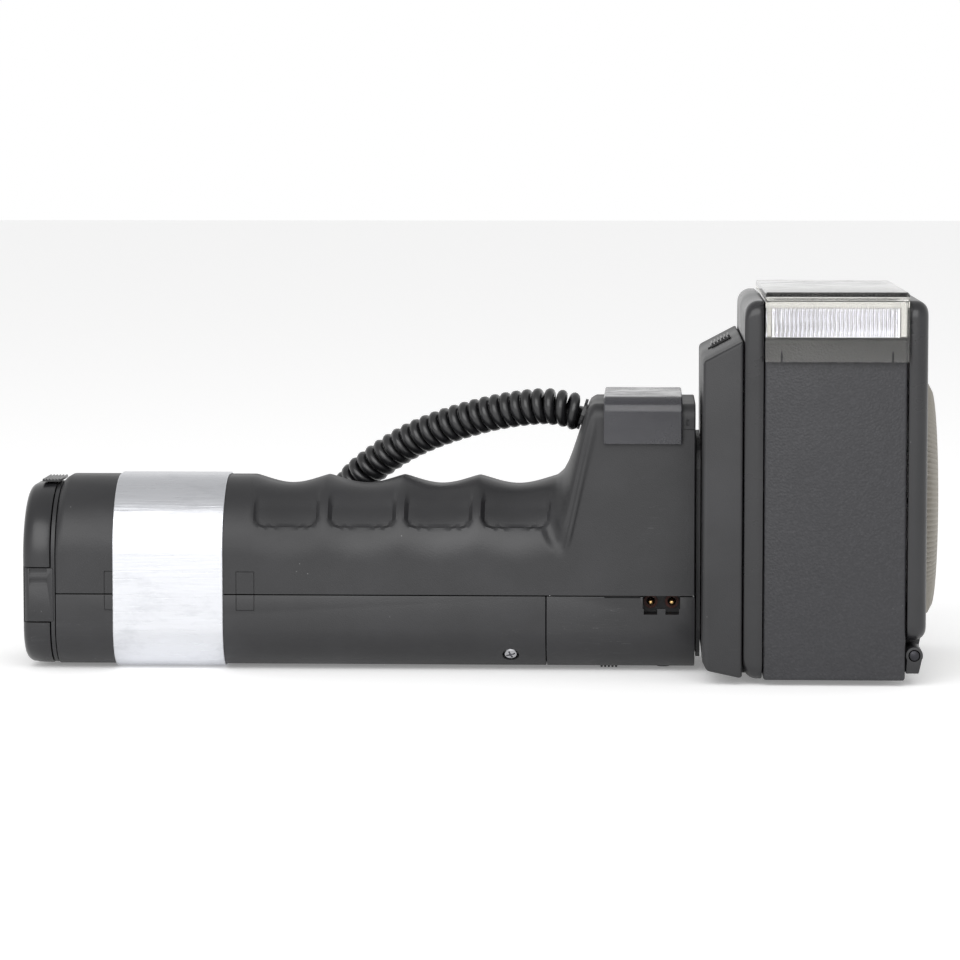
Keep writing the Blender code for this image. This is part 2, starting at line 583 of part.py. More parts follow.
def flanged_key(start, width, flange, low):
    """Outline (x, z) of a key through the back wall, with a wider foot inside that keeps it in."""
    stop, seat, inside = start + width, HANDLE_BACK + WALL + GAP, HANDLE_BACK + WALL + 1.8
    return [(start, low), (stop, low), (stop, seat), (stop + flange, seat), (stop + flange, inside),
            (start - flange, inside), (start - flange, seat), (start, seat)]


def make_back_controls(black, red):
    slide, button = flanged_key(POWER_START, 5.0, 2.0, 0.0), flanged_key(TEST_START, 4.2, 1.4, 0.15)
    prism("power_slide", "Y", slide, CONTROL_Y - 2.6, CONTROL_Y + 2.6, black, "power")
    prism("test_button", "Y", button, CONTROL_Y - 2.2, CONTROL_Y + 2.2, black, "test")
    turned("ready_lamp", "Z", LAMP_PLACE, ((0.75, 1.4), (1.0, 2.0), (6.0, 2.0)), red, count=16)


def smooth_curve(route, spacing):
    """Points about a spacing apart on the Catmull-Rom curve through a route."""
    nodes = [Vector(point) for point in route]
    nodes = [2 * nodes[0] - nodes[1]] + nodes + [2 * nodes[-1] - nodes[-2]]
    points = []
    for a, b, c, d in zip(nodes, nodes[1:], nodes[2:], nodes[3:]):
        pieces = max(2, round((c - b).length / spacing))
        for i in range(pieces):
            t = i / pieces
            points.append(0.5 * (2 * b + (c - a) * t + (2 * a - 5 * b + 4 * c - d) * t * t
                                 + (3 * b - a - 3 * c + d) * t ** 3))
    return points + [nodes[-2]]


def make_cord_tube(name, route, radius, spacing, finish):
    curve = bpy.data.curves.new(name, "CURVE")
    curve.dimensions = "3D"
    curve.bevel_depth = radius * MM
    curve.bevel_resolution = 2
    curve.render_resolution_u = 0
    curve.use_fill_caps = True
    points = smooth_curve(route, spacing)
    spline = curve.splines.new("POLY")
    spline.points.add(len(points) - 1)
    for spot, point in zip(spline.points, points):
        spot.co = (*(point * MM), 1.0)
    curve.materials.append(finish)
    item = bpy.data.objects.new(name, curve)
    bpy.context.collection.objects.link(item)


def make_cord(cord_black, steel):
    make_tilted_cylinder("cord_gland", 4.4, -3.4, 1.1, cord_black, inner=1.7)
    make_cord_tube("sync_cord_coil", COIL_ROUTE, COIL_RADIUS, 9.0, cord_black)
    make_cord_tube("sync_cord_tail", TAIL_ROUTE, WIRE_RADIUS, 4.0, cord_black)
    end = TAIL_ROUTE[-1]
    relief = ((GAP, 2.0), (6.0, 2.9), (7.0, 3.9), (17.0, 3.9), (17.5, 3.1), (21.5, 3.1))
    profile = [(end[0] - away, radius) for away, radius in relief]
    turned("sync_plug", "X", (end[1], end[2]), profile, steel, count=20)


def main():
    for item in list(bpy.data.objects):
        bpy.data.objects.remove(item, do_unlink=True)

    slope = sloped(6.0, 0.0)
    pivot("cassette", (CAP_END, 0, 25.0))
    pivot("latch", (CAP_END, 0, HANDLE_FRONT), "cassette")
    pivot("neck", (NECK_START, 0, SWIVEL_Z))
    pivot("tilt_release", (slope[0], 0, slope[1]), "neck")
    pivot("head", (TILT_X, 0, TILT_Z), "neck")
    pivot("cover", (COVER_PIN_X, 0, COVER_PIN_Z), "head")
    pivot("dial", (COVER_END, 0, DIAL_Z), "cover")
    pivot("diffuser", (96, 0, HEAD_FRONT), "head")
    pivot("sensor_cap", (45, 0, SHOULDER_FRONT))
    pivot("power", (POWER_START, CONTROL_Y, HANDLE_BACK))
    pivot("test", (TEST_START, CONTROL_Y, HANDLE_BACK))

    black = material("black_plastic", BLACK, 0.55)
    gloss = material("gloss_black", GLOSS_BLACK, 0.3)
    cord_black = material("cord_rubber", (0.015, 0.015, 0.016), 0.25)
    aluminium = material("aluminium_sheet", ALUMINIUM, 0.35, 1.0)
    steel = material("steel", STEEL, 0.35, 1.0)
    brass = material("brass", BRASS, 0.3, 1.0)
    clear = material("clear_plastic", CLEAR, 0.1, alpha=0.4)
    smoke = material("smoke_plastic", (0.45, 0.45, 0.46), 0.2, alpha=0.6)
    glass = material("glass", (0.9, 0.92, 0.92), 0.05, alpha=0.4)
    mirror = material("reflector_metal", (0.85, 0.85, 0.86), 0.12, 1.0)
    ivory = material("ivory_plastic", (0.62, 0.58, 0.48), 0.4)
    red = material("lamp_orange", (0.7, 0.16, 0.02), 0.2)

    make_handle(black, aluminium)
    make_chamber_collar(black)
    make_sync_socket(black, brass)
    make_electronics(steel)
    make_subflash(clear, glass, gloss)
    make_swivel(black, steel)
    make_neck(black, steel)
    make_head(black, steel, clear, glass, mirror)
    make_cover(gloss, steel, ivory)
    make_slip_on("wide_diffuser", (77.4, 115.3), HEAD_HALF + 1.9, 104.7, 86.3, 1.5, 2.2, clear, "diffuser")
    make_slip_on("sensor_cap", (34.5, 55.8), HANDLE_HALF + 1.7, 75.4, 62.7, 1.4, 3.0, smoke, "sensor_cap")
    make_battery_cassette(gloss)
    make_latch(gloss)
    make_back_controls(gloss, red)
    make_cord(cord_black, steel)


main()
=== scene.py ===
"""Looks of the handle-mount electronic flash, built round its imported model."""
import math

import bmesh
import bpy
from mathutils import Matrix, Vector


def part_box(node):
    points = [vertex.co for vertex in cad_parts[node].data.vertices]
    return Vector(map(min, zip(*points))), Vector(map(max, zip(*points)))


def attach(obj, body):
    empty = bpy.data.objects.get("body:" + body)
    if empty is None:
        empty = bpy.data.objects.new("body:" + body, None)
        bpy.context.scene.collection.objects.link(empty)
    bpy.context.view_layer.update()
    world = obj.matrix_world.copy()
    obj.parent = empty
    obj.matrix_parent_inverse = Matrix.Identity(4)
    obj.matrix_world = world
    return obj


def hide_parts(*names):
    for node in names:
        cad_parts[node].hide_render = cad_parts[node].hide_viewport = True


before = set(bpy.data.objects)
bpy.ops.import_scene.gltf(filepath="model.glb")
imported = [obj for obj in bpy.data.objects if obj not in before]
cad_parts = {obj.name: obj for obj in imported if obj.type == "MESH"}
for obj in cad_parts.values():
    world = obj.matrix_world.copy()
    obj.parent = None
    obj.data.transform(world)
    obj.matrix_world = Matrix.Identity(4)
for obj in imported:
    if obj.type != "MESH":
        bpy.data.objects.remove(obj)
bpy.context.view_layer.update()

MM = 0.001


# ---------------------------------------------------------------- camera, light and floor

LOOK_AT = Vector((0.0, 0.0, 0.0507))
CAMERA_AZIMUTH, CAMERA_ELEVATION = math.radians(2.3), math.radians(4.8)
CAMERA_DISTANCE = 1.135
CAMERA_LENS = 153.4
OVERHEAD_STRENGTH = 0.62
FRONT_POWER = 15.0
FLOOR_GLOW = 0.22


def make_camera():
    data = bpy.data.cameras.new("camera")
    data.lens = CAMERA_LENS
    data.sensor_width = 36.0
    data.clip_end = 20.0
    camera = bpy.data.objects.new("camera", data)
    bpy.context.collection.objects.link(camera)
    back = Vector((
        math.sin(CAMERA_AZIMUTH) * math.cos(CAMERA_ELEVATION),
        -math.cos(CAMERA_AZIMUTH) * math.cos(CAMERA_ELEVATION),
        math.sin(CAMERA_ELEVATION),
    ))
    camera.location = LOOK_AT + CAMERA_DISTANCE * back
    camera.rotation_euler = back.to_track_quat("Z", "Y").to_euler()
    bpy.context.scene.camera = camera


def area_light(name, place, size, power):
    data = bpy.data.lights.new(name, "AREA")
    data.shape = "RECTANGLE"
    data.size, data.size_y = size
    data.energy = power
    light = bpy.data.objects.new(name, data)
    bpy.context.collection.objects.link(light)
    light.location = place
    aim = Vector(place) - Vector((0.0, 0.0, 0.04))
    light.rotation_euler = aim.to_track_quat("Z", "Y").to_euler()


def make_studio():
    world = bpy.data.worlds.new("studio")
    bpy.context.scene.world = world
    world.use_nodes = True
    tree = world.node_tree
    background = tree.nodes["Background"]
    background.inputs["Color"].default_value = (1.0, 1.0, 1.0, 1.0)
    direction = tree.nodes.new("ShaderNodeTexCoord").outputs["Generated"]
    split = tree.nodes.new("ShaderNodeSeparateXYZ")
    tree.links.new(direction, split.inputs["Vector"])
    fade = tree.nodes.new("ShaderNodeMapRange")
    tree.links.new(split.outputs["Z"], fade.inputs["Value"])
    fade.inputs["From Min"].default_value = 0.10
    fade.inputs["From Max"].default_value = 0.75
    fade.inputs["To Min"].default_value = 1.0
    fade.inputs["To Max"].default_value = OVERHEAD_STRENGTH
    tree.links.new(fade.outputs["Result"], background.inputs["Strength"])
    area_light("front_softbox", (-0.15, -1.25, 0.85), (1.5, 1.2), FRONT_POWER)

    bm = bmesh.new()
    bmesh.ops.create_grid(bm, x_segments=1, y_segments=1, size=6.0)
    mesh = bpy.data.meshes.new("floor")
    bm.to_mesh(mesh)
    bm.free()
    floor = bpy.data.objects.new("floor", mesh)
    bpy.context.collection.objects.link(floor)
    floor.location.z = -0.0002
    paper = bpy.data.materials.new("floor_paper")
    paper.use_nodes = True
    shader = paper.node_tree.nodes["Principled BSDF"]
    shader.inputs["Base Color"].default_value = (0.96, 0.96, 0.96, 1.0)
    shader.inputs["Roughness"].default_value = 0.9
    shader.inputs["Specular IOR Level"].default_value = 0.1
    shader.inputs["Emission Color"].default_value = (1.0, 1.0, 1.0, 1.0)
    shader.inputs["Emission Strength"].default_value = FLOOR_GLOW
    mesh.materials.append(paper)
    bpy.context.scene.view_settings.view_transform = "Standard"


# ---------------------------------------------------------------- materials

class Look:
    """A small helper that wires one Principled material; coordinates are the piece's own, in metres."""

    def __init__(self, name, colour, roughness, metallic=0.0):
        self.material = bpy.data.materials.new(name)
        self.material.use_nodes = True
        self.tree = self.material.node_tree
        self.shader = self.tree.nodes["Principled BSDF"]
        self.shader.inputs["Base Color"].default_value = (*colour, 1.0)
        self.shader.inputs["Roughness"].default_value = roughness
        self.shader.inputs["Metallic"].default_value = metallic
        self.place = self.tree.nodes.new("ShaderNodeTexCoord").outputs["Object"]

    def node(self, kind, **inputs):
        made = self.tree.nodes.new(kind)
        for key, value in inputs.items():
            target = made.inputs[key.replace("_", " ")]
            if isinstance(value, bpy.types.NodeSocket):
                self.tree.links.new(value, target)
            else:
                target.default_value = value
        return made

    def stretched(self, scale):
        mapping = self.node("ShaderNodeMapping", Vector=self.place)
        mapping.inputs["Scale"].default_value = scale
        return mapping.outputs["Vector"]

    def noise(self, scale, detail=3.0, rough=0.55, where=None):
        made = self.node("ShaderNodeTexNoise", Vector=where or self.place, Scale=scale, Detail=detail,
                         Roughness=rough)
        return made.outputs["Fac"]

    def ramp(self, value, low, high, first=0.0, last=1.0):
        made = self.node("ShaderNodeMapRange", Value=value)
        made.inputs["From Min"].default_value = low
        made.inputs["From Max"].default_value = high
        made.inputs["To Min"].default_value = first
        made.inputs["To Max"].default_value = last
        return made.outputs["Result"]

    def maths(self, operation, first, second):
        made = self.tree.nodes.new("ShaderNodeMath")
        made.operation = operation
        for socket, value in zip(made.inputs, (first, second)):
            if isinstance(value, bpy.types.NodeSocket):
                self.tree.links.new(value, socket)
            else:
                socket.default_value = value
        return made.outputs["Value"]

    def tint(self, factor, colour):
        """Mixes a colour over the base colour so far."""
        mix = self.tree.nodes.new("ShaderNodeMix")
        mix.data_type = "RGBA"
        self.tree.links.new(factor, mix.inputs["Factor"])
        base = self.shader.inputs["Base Color"]
        if base.is_linked:
            self.tree.links.new(base.links[0].from_socket, mix.inputs["A"])
        else:
            mix.inputs["A"].default_value = base.default_value
        mix.inputs["B"].default_value = (*colour, 1.0)
        self.tree.links.new(mix.outputs["Result"], base)

    def specks(self, scale, size, gate_scale, gate, amount, colour):
        """Scattered round specks of a colour, only inside the patches that the gate opens."""
        cells = self.node("ShaderNodeTexVoronoi", Vector=self.place, Scale=scale)
        dot = self.ramp(cells.outputs["Distance"], size[0], size[1], 1.0, 0.0)
        sparse = self.ramp(self.noise(gate_scale, 2.0), gate[0], gate[1])
        self.tint(self.maths("MULTIPLY", self.maths("MULTIPLY", dot, sparse), amount), colour)

    def rough(self, value):
        self.tree.links.new(value, self.shader.inputs["Roughness"])

    def bump(self, height, depth, strength=1.0):
        made = self.node("ShaderNodeBump", Height=height, Distance=depth, Strength=strength)
        normal = self.shader.inputs["Normal"]
        if normal.is_linked:
            self.tree.links.new(normal.links[0].from_socket, made.inputs["Normal"])
        self.tree.links.new(made.outputs["Normal"], normal)


def black_plastic(name, roughness=0.42, grain=0.00004, wear=0.5):
    """Moulded charcoal plastic: fine grain, uneven sheen, hand wear, hairline scratches and pale dust."""
    colour = (0.016, 0.016, 0.0175)
    look = Look(name, colour, roughness)
    patches = look.noise(55.0, 4.0)
    rubbed = look.ramp(patches, 0.42, 0.70)
    look.tint(look.maths("MULTIPLY", rubbed, wear), tuple(1.7 * c for c in colour))
    smear = look.noise(16.0, 5.0, 0.6, look.stretched((1.0, 1.0, 2.2)))
    look.rough(look.ramp(smear, 0.3, 0.7, roughness - 0.07, roughness + 0.12))
    fine = look.noise(2600.0, 2.0, 0.6)
    look.bump(fine, grain)
    scratch = look.noise(150.0, 2.0, 0.5, look.stretched((0.25, 1.0, 4.0)))
    centre = look.maths("ABSOLUTE", look.maths("SUBTRACT", scratch, 0.5), 0.0)
    line = look.ramp(centre, 0.0, 0.0022, 1.0, 0.0)
    gate = look.ramp(look.noise(38.0, 1.0), 0.60, 0.70)
    look.tint(look.maths("MULTIPLY", look.maths("MULTIPLY", line, gate), 0.35), (0.16, 0.16, 0.165))
    look.specks(420.0, (0.05, 0.09), 90.0, (0.62, 0.68), 0.35, (0.33, 0.33, 0.33))
    return look.material


def pebble_plastic():
    """The lamp case: the same plastic with a coarser pebble grain."""
    look = Look("pebble_black", (0.018, 0.018, 0.021), 0.5)
    pebble = look.node("ShaderNodeTexVoronoi", Vector=look.place, Scale=1500.0)
    look.bump(look.ramp(pebble.outputs["Distance"], 0.0, 0.8, 1.0, 0.0), 0.00009)
    look.bump(look.noise(3400.0, 2.0), 0.00003)
    shade = look.noise(1500.0, 2.0, 0.7)
    look.tint(look.ramp(shade, 0.45, 0.75, 0.0, 0.45), (0.045, 0.045, 0.050))
    patches = look.noise(28.0, 5.0, 0.6)
    look.rough(look.ramp(patches, 0.3, 0.72, 0.42, 0.60))
    look.tint(look.ramp(patches, 0.5, 0.75, 0.0, 0.25), (0.038, 0.038, 0.042))
    look.specks(300.0, (0.03, 0.06), 60.0, (0.60, 0.66), 0.4, (0.30, 0.30, 0.30))
    return look.material


def brushed_aluminium():
    look = Look("brushed_band", (0.70, 0.71, 0.74), 0.30, 1.0)
    grain = look.noise(1.0, 3.0, 0.65, look.stretched((60.0, 2200.0, 2200.0)))
    look.bump(grain, 0.00005)
    look.rough(look.ramp(grain, 0.3, 0.7, 0.24, 0.42))
    stain = look.noise(42.0, 6.0, 0.7, look.stretched((0.8, 1.0, 1.8)))
    look.tint(look.ramp(stain, 0.50, 0.70, 0.0, 0.5), (0.42, 0.43, 0.46))
    return look.material


def metal(name, colour, roughness, scale=900.0):
    look = Look(name, colour, roughness, 1.0)
    worn = look.noise(scale, 3.0)
    look.rough(look.ramp(worn, 0.3, 0.7, roughness * 0.8, roughness * 1.3))
    look.tint(look.ramp(look.noise(scale * 0.2, 3.0), 0.55, 0.8, 0.0, 0.4), tuple(0.6 * c for c in colour))
    return look.material


def clear_plastic(name, colour, roughness, transmission=1.0, haze=0.0):
    """Clear moulded plastic; haze is the share of fine scratches that spoil its gloss."""
    look = Look(name, colour, roughness)
    look.shader.inputs["Transmission Weight"].default_value = transmission
    look.shader.inputs["IOR"].default_value = 1.49
    marks = look.noise(120.0, 5.0, 0.65)
    look.rough(look.ramp(marks, 0.35, 0.75, roughness, roughness + haze))
    look.tint(look.ramp(look.noise(30.0, 4.0), 0.5, 0.8, 0.0, 0.25), tuple(0.8 * c for c in colour))
    return look.material


def rubber(name, colour, roughness):
    look = Look(name, colour, roughness)
    look.shader.inputs["Coat Weight"].default_value = 0.25
    look.shader.inputs["Coat Roughness"].default_value = 0.15
    look.rough(look.ramp(look.noise(260.0, 3.0), 0.3, 0.7, roughness - 0.06, roughness + 0.1))
    look.tint(look.ramp(look.noise(180.0, 4.0), 0.55, 0.75, 0.0, 0.4), tuple(1.9 * c for c in colour))
    return look.material


def coated(name, colour, roughness, speckle=(0.0, 0.0, 0.0), scale=600.0, metallic=0.0):
    """A plain part kept inside or small: one colour with a fine speckle and uneven gloss."""
    look = Look(name, colour, roughness, metallic)
    look.tint(look.ramp(look.noise(scale, 3.0), 0.5, 0.75, 0.0, 0.5), speckle)
    gloss = look.noise(scale * 0.4, 3.0)
    look.rough(look.ramp(gloss, 0.3, 0.7, roughness * 0.85, roughness * 1.25))
    look.bump(look.noise(scale * 2.0, 2.0), 0.00002)
    return look.material


# ---------------------------------------------------------------- mesh helpers (millimetres in, metres out)

def along(axis, level, points):
    """Flat points on the plane across an axis: X takes (y, z), Y takes (x, z) and Z takes (x, y)."""
    if axis == "X":
        return [(level, a, b) for a, b in points]
    if axis == "Y":
        return [(a, level, b) for a, b in points]
    return [(a, b, level) for a, b in points]


def loft(rings, closed=False):
    bm = bmesh.new()
    loops = [[bm.verts.new(Vector(point) * MM) for point in ring] for ring in rings]
    pairs = list(zip(loops, loops[1:]))
    if closed:
        pairs.append((loops[-1], loops[0]))
    else:
        bm.faces.new(loops[0])
        bm.faces.new(loops[-1])
    for first, second in pairs:
        for i in range(len(first)):
            j = (i + 1) % len(first)
            bm.faces.new((first[i], first[j], second[j], second[i]))
    bmesh.ops.recalc_face_normals(bm, faces=bm.faces[:])
    return bm


def prism(axis, points, start, stop):
    return loft([along(axis, level, points) for level in (start, stop)])


def block(low, high):
    corners = ((low[0], low[1]), (high[0], low[1]), (high[0], high[1]), (low[0], high[1]))
    return prism("Z", corners, low[2], high[2])


def circle(centre, radius, count=48):
    angles = [2 * math.pi * i / count for i in range(count)]
    return [(centre[0] + radius * math.cos(a), centre[1] + radius * math.sin(a)) for a in angles]


def arc(centre, radius, start, stop, steps):
    angles = [math.radians(start + (stop - start) * i / steps) for i in range(steps + 1)]
    return [(centre[0] + radius * math.cos(a), centre[1] + radius * math.sin(a)) for a in angles]


def turned(axis, centre, profile, closed=False, count=48):
    return loft([along(axis, level, circle(centre, radius, count)) for level, radius in profile], closed)


def rounded(low, high, radius, steps=6):
    """Rounded rectangle between two flat corners."""
    (a, b), (c, d) = low, high
    points = arc((c - radius, b + radius), radius, -90, 0, steps)
    points += arc((c - radius, d - radius), radius, 0, 90, steps)
    points += arc((a + radius, d - radius), radius, 90, 180, steps)
    return points + arc((a + radius, b + radius), radius, 180, 270, steps)


def bevel(bm, width, segments=3, angle=30.0):
    """Rounds every edge sharper than the angle."""
    limit = math.radians(angle)
    sharp = [e for e in bm.edges if len(e.link_faces) == 2 and e.calc_face_angle(0.0) > limit]
    bmesh.ops.bevel(bm, geom=sharp, offset=width * MM, offset_type="OFFSET", segments=segments, profile=0.5,
                    affect="EDGES", clamp_overlap=True)
    return bm


def join(*meshes):
    """Several meshes as one mesh with loose shells."""
    whole = bmesh.new()
    for bm in meshes:
        data = bpy.data.meshes.new("joined")
        bm.to_mesh(data)
        bm.free()
        whole.from_mesh(data)
        bpy.data.meshes.remove(data)
    return whole


def shade(obj, angle=35.0):
    obj.data.shade_smooth()
    obj.data.set_sharp_from_angle(angle=math.radians(angle))


def piece(name, bm, material, body, slot, *nodes, angle=35.0):
    """A finished piece of the flash that rides on a body and stands for the named CAD nodes."""
    mesh = bpy.data.meshes.new(name)
    bm.to_mesh(mesh)
    bm.free()
    obj = bpy.data.objects.new(name, mesh)
    bpy.context.collection.objects.link(obj)
    mesh.materials.append(material)
    shade(obj, angle)
    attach(obj, body)
    if nodes:
        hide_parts(*nodes)
    return obj


def carve(obj, *cutters, union=False, angle=35.0):
    """Cuts shapes out of a piece, or joins them to it, and keeps the result as its mesh."""
    tools = []
    for bm in cutters:
        mesh = bpy.data.meshes.new("cutter")
        bm.to_mesh(mesh)
        bm.free()
        tool = bpy.data.objects.new("cutter", mesh)
        bpy.context.collection.objects.link(tool)
        tool.hide_render = True
        change = obj.modifiers.new("cut", "BOOLEAN")
        change.operation = "UNION" if union else "DIFFERENCE"
        change.solver = "EXACT"
        change.object = tool
        tools.append(tool)
    graph = bpy.context.evaluated_depsgraph_get()
    mesh = bpy.data.meshes.new_from_object(obj.evaluated_get(graph))
    obj.modifiers.clear()
    old = obj.data
    obj.data = mesh
    bpy.data.meshes.remove(old)
    for tool in tools:
        bpy.data.objects.remove(tool)
    shade(obj, angle)
    return obj


def dress(material, *nodes):
    """A better material on CAD nodes whose shape is already right."""
    for name in nodes:
        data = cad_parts[name].data
        data.materials.clear()
        data.materials.append(material)


def smooth_step(value, start, stop):
    t = min(max((value - start) / (stop - start), 0.0), 1.0)
    return t * t * (3 - 2 * t)


def between(x, table):
    """Straight-line reading of a table of (x, value)."""
    if x <= table[0][0]:
        return table[0][1]
    for (left, low), (right, high) in zip(table, table[1:]):
        if x <= right:
            return low + (high - low) * (x - left) / (right - left)
    return table[-1][1]


def low_of(node):
    return tuple(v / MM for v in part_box(node)[0])


def high_of(node):
    return tuple(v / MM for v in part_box(node)[1])


def middle_of(node):
    return tuple((a + b) / 2 for a, b in zip(low_of(node), high_of(node)))


def both_sides(inner, outer):
    """The same stretch of Y on the near side and on the far side, each as (low, high)."""
    return ((-outer, -inner), (inner, outer))


# ---------------------------------------------------------------- sync cord

WIRE_RADIUS = 1.42
HELIX_RADIUS = 3.72
HELIX_PITCH = 3.12
POINTS_PER_TURN = 16
CORD_EXIT = Vector((29.1, 0.0, 68.9))
CORD_HEADING = Vector((-3.0, 0.0, 1.0)).normalized()
COIL_ROUTE = (
    (27.4, 0.0, 69.47), (23.4, 0.3, 70.6), (16.6, 2.0, 71.1), (4.2, 6.5, 69.1), (-9.7, 12.0, 64.9),
    (-21.6, 17.5, 59.5), (-32.6, 22.5, 51.9), (-38.0, 27.0, 46.4), (-43.5, 30.0, 38.0), (-48.0, 31.5, 29.0),
    (-53.5, 32.5, 19.5), (-61.0, 33.5, 10.5), (-70.0, 34.5, 6.4), (-79.0, 35.5, 5.6),
)
TAIL_ROUTE = ((-86.0, 36.6, 1.7), (-92.0, 37.8, 1.8), (-97.0, 38.8, 2.8), (-102.0, 39.4, 4.1))


def smooth_curve(route, spacing):
    """Points about a spacing apart on the Catmull-Rom curve through a route."""
    nodes = [Vector(point) for point in route]
    nodes = [2 * nodes[0] - nodes[1]] + nodes + [2 * nodes[-1] - nodes[-2]]
    points = []
    for a, b, c, d in zip(nodes, nodes[1:], nodes[2:], nodes[3:]):
        pieces = max(2, round((c - b).length / spacing))
        for i in range(pieces):
            t = i / pieces
            points.append(0.5 * (2 * b + (c - a) * t + (2 * a - 5 * b + 4 * c - d) * t * t
                                 + (3 * b - a - 3 * c + d) * t ** 3))
    return points + [nodes[-2]]


def helix_path():
    """The curly wire: its turns open out at the far end and run on along the tail to the plug."""
    step = HELIX_PITCH / POINTS_PER_TURN
    centre = smooth_curve(COIL_ROUTE, 0.05)
    lengths = [0.0]
    for first, second in zip(centre, centre[1:]):
        lengths.append(lengths[-1] + (second - first).length)
    total = lengths[-1]
    run_out, opening = 6.0, 4.0
    spots, tangents, index = [], [], 0
    s = 0.0
    while s <= total + run_out:
        if s <= total:
            while index < len(lengths) - 2 and lengths[index + 1] < s:
                index += 1
            first, second = centre[index], centre[index + 1]
            share = (s - lengths[index]) / (lengths[index + 1] - lengths[index])
            spots.append(first.lerp(second, share))
            tangents.append((second - first).normalized())
        else:
            spots.append(centre[-1] + tangents[-1] * (s - total))
            tangents.append(tangents[-1])
        s += step
    normal = Vector((0, 0, 1))
    normals = []
    for tangent in tangents:
        normal = (normal - tangent * normal.dot(tangent)).normalized()
        normals.append(normal)
    angles, angle = [], 0.0
    for i in range(len(spots)):
        fade = 1.0 - smooth_step(i * step, total - opening, total + run_out)
        angle += 2 * math.pi / POINTS_PER_TURN * fade
        angles.append(angle)
    down = math.pi - angles[-1]
    path = []
    for i, (spot, tangent, across) in enumerate(zip(spots, tangents, normals)):
        side = tangent.cross(across)
        radius = HELIX_RADIUS * smooth_step(i, -10, 0.2 * POINTS_PER_TURN)
        turn = angles[i] + down
        path.append(spot + radius * (math.cos(turn) * across + math.sin(turn) * side))
    tail = smooth_curve((path[-1],) + TAIL_ROUTE, 2.0)
    heading, leaving = 6 * CORD_HEADING, 6 * (path[1] - path[0]).normalized()
    lead = []
    for i in range(8):
        t = i / 8
        lead.append((2 * t ** 3 - 3 * t * t + 1) * CORD_EXIT + (t ** 3 - 2 * t * t + t) * heading
                    + (3 * t * t - 2 * t ** 3) * path[0] + (t ** 3 - t * t) * leaving)
    return lead + path + tail[1:]


def make_cord(rubber_black, steel):
    points = helix_path()
    curve = bpy.data.curves.new("sync_cord", "CURVE")
    curve.dimensions = "3D"
    curve.bevel_depth = WIRE_RADIUS * MM
    curve.bevel_resolution = 4
    curve.use_fill_caps = True
    spline = curve.splines.new("POLY")
    spline.points.add(len(points) - 1)
    for spot, point in zip(spline.points, points):
        spot.co = (*(point * MM), 1.0)
    spline.use_smooth = True
    curve.materials.append(rubber_black)
    cord = bpy.data.objects.new("sync_cord", curve)
    bpy.context.collection.objects.link(cord)
    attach(cord, "handle")
    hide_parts("sync_cord_coil", "sync_cord_tail")

    x, y, z = TAIL_ROUTE[-1]
    relief = [(x + 3.6, 1.75)]
    for i in range(5):
        start = x + 2.6 - 1.2 * i
        relief += [(start, 1.8 + 0.1 * i), (start - 0.6, 2.1 + 0.12 * i), (start - 0.62, 1.85 + 0.1 * i)]
    relief += [(x - 4.4, 3.0), (x - 5.0, 3.6), (x - 5.6, 3.85)]
    body_end = x - 15.5
    relief += [(body_end, 3.85), (body_end - 0.4, 3.5)]
    boot = piece("plug_boot", turned("X", (y, z), relief), rubber_black, "handle", "cord_rubber")
    shell = [(body_end - 0.2, 2.6), (body_end - 0.3, 3.3), (body_end - 1.6, 3.3), (body_end - 1.8, 3.0),
             (body_end - 5.6, 3.0), (body_end - 6.0, 2.75), (body_end - 6.0, 2.3), (body_end - 1.0, 2.3)]
    nose = turned("X", (y, z), shell, closed=True)
    nose = piece("plug_shell", nose, steel, "handle", "bright_steel", "sync_plug")
    tip = [(body_end - 1.5, 0.5), (body_end - 5.0, 0.5), (body_end - 5.4, 0.3)]
    pin = piece("plug_pin", turned("X", (y, z), tip, count=20), steel, "handle", "bright_steel")


# ---------------------------------------------------------------- handle

WALL = 2.2
GAP = 0.3
HOOK_PLACES = ((-63.3, 4.9), (-99.6, 4.6))
SCREW_SIDES = (("cover_screw_near", -1), ("cover_screw_far", 1))
FRONT_RADIUS, BACK_RADIUS = 20.0, 11.0
SHOULDER_RADIUS = 4.0
FINGER_RIDGES = (-62.5, -42.0, -21.0, 0.0, 21.5)
FINGER_DEPTH = 2.3
POCKET_LOW, POCKET_DEPTH, POCKET_CORNER = 40.2, 1.6, 3.2
SHOULDER_PROFILE = (
    (21.5, 52.0), (23.3, 53.4), (24.7, 56.0), (25.8, 59.0), (29.6, 70.4), (30.5, 72.4), (32.0, 73.4),
)
END_DROP, END_ROUND = 1.7, 2.4

HANDLE_START, _, SEAM_HIGH = low_of("handle_shell")
HANDLE_END, HANDLE_HALF, SHOULDER_FRONT = high_of("handle_shell")
HANDLE_BACK = low_of("rear_cover")[2]
COVER_SPLIT, _, SEAM_LOW = high_of("rear_cover")
CONTROL_START = low_of("control_cover")[0]
BAND_PROUD = high_of("grip_band")[1] - HANDLE_HALF
HANDLE_FRONT = high_of("grip_band")[2] - BAND_PROUD


def front_height(x):
    if x < HANDLE_START + END_ROUND:
        return HANDLE_FRONT - END_DROP * (1 - max(x - HANDLE_START, 0.0) / END_ROUND) ** 2
    for left, right in zip(FINGER_RIDGES, FINGER_RIDGES[1:]):
        if left < x < right:
            return HANDLE_FRONT - FINGER_DEPTH * math.sin(math.pi * (x - left) / (right - left)) ** 1.2
    return between(x, SHOULDER_PROFILE)


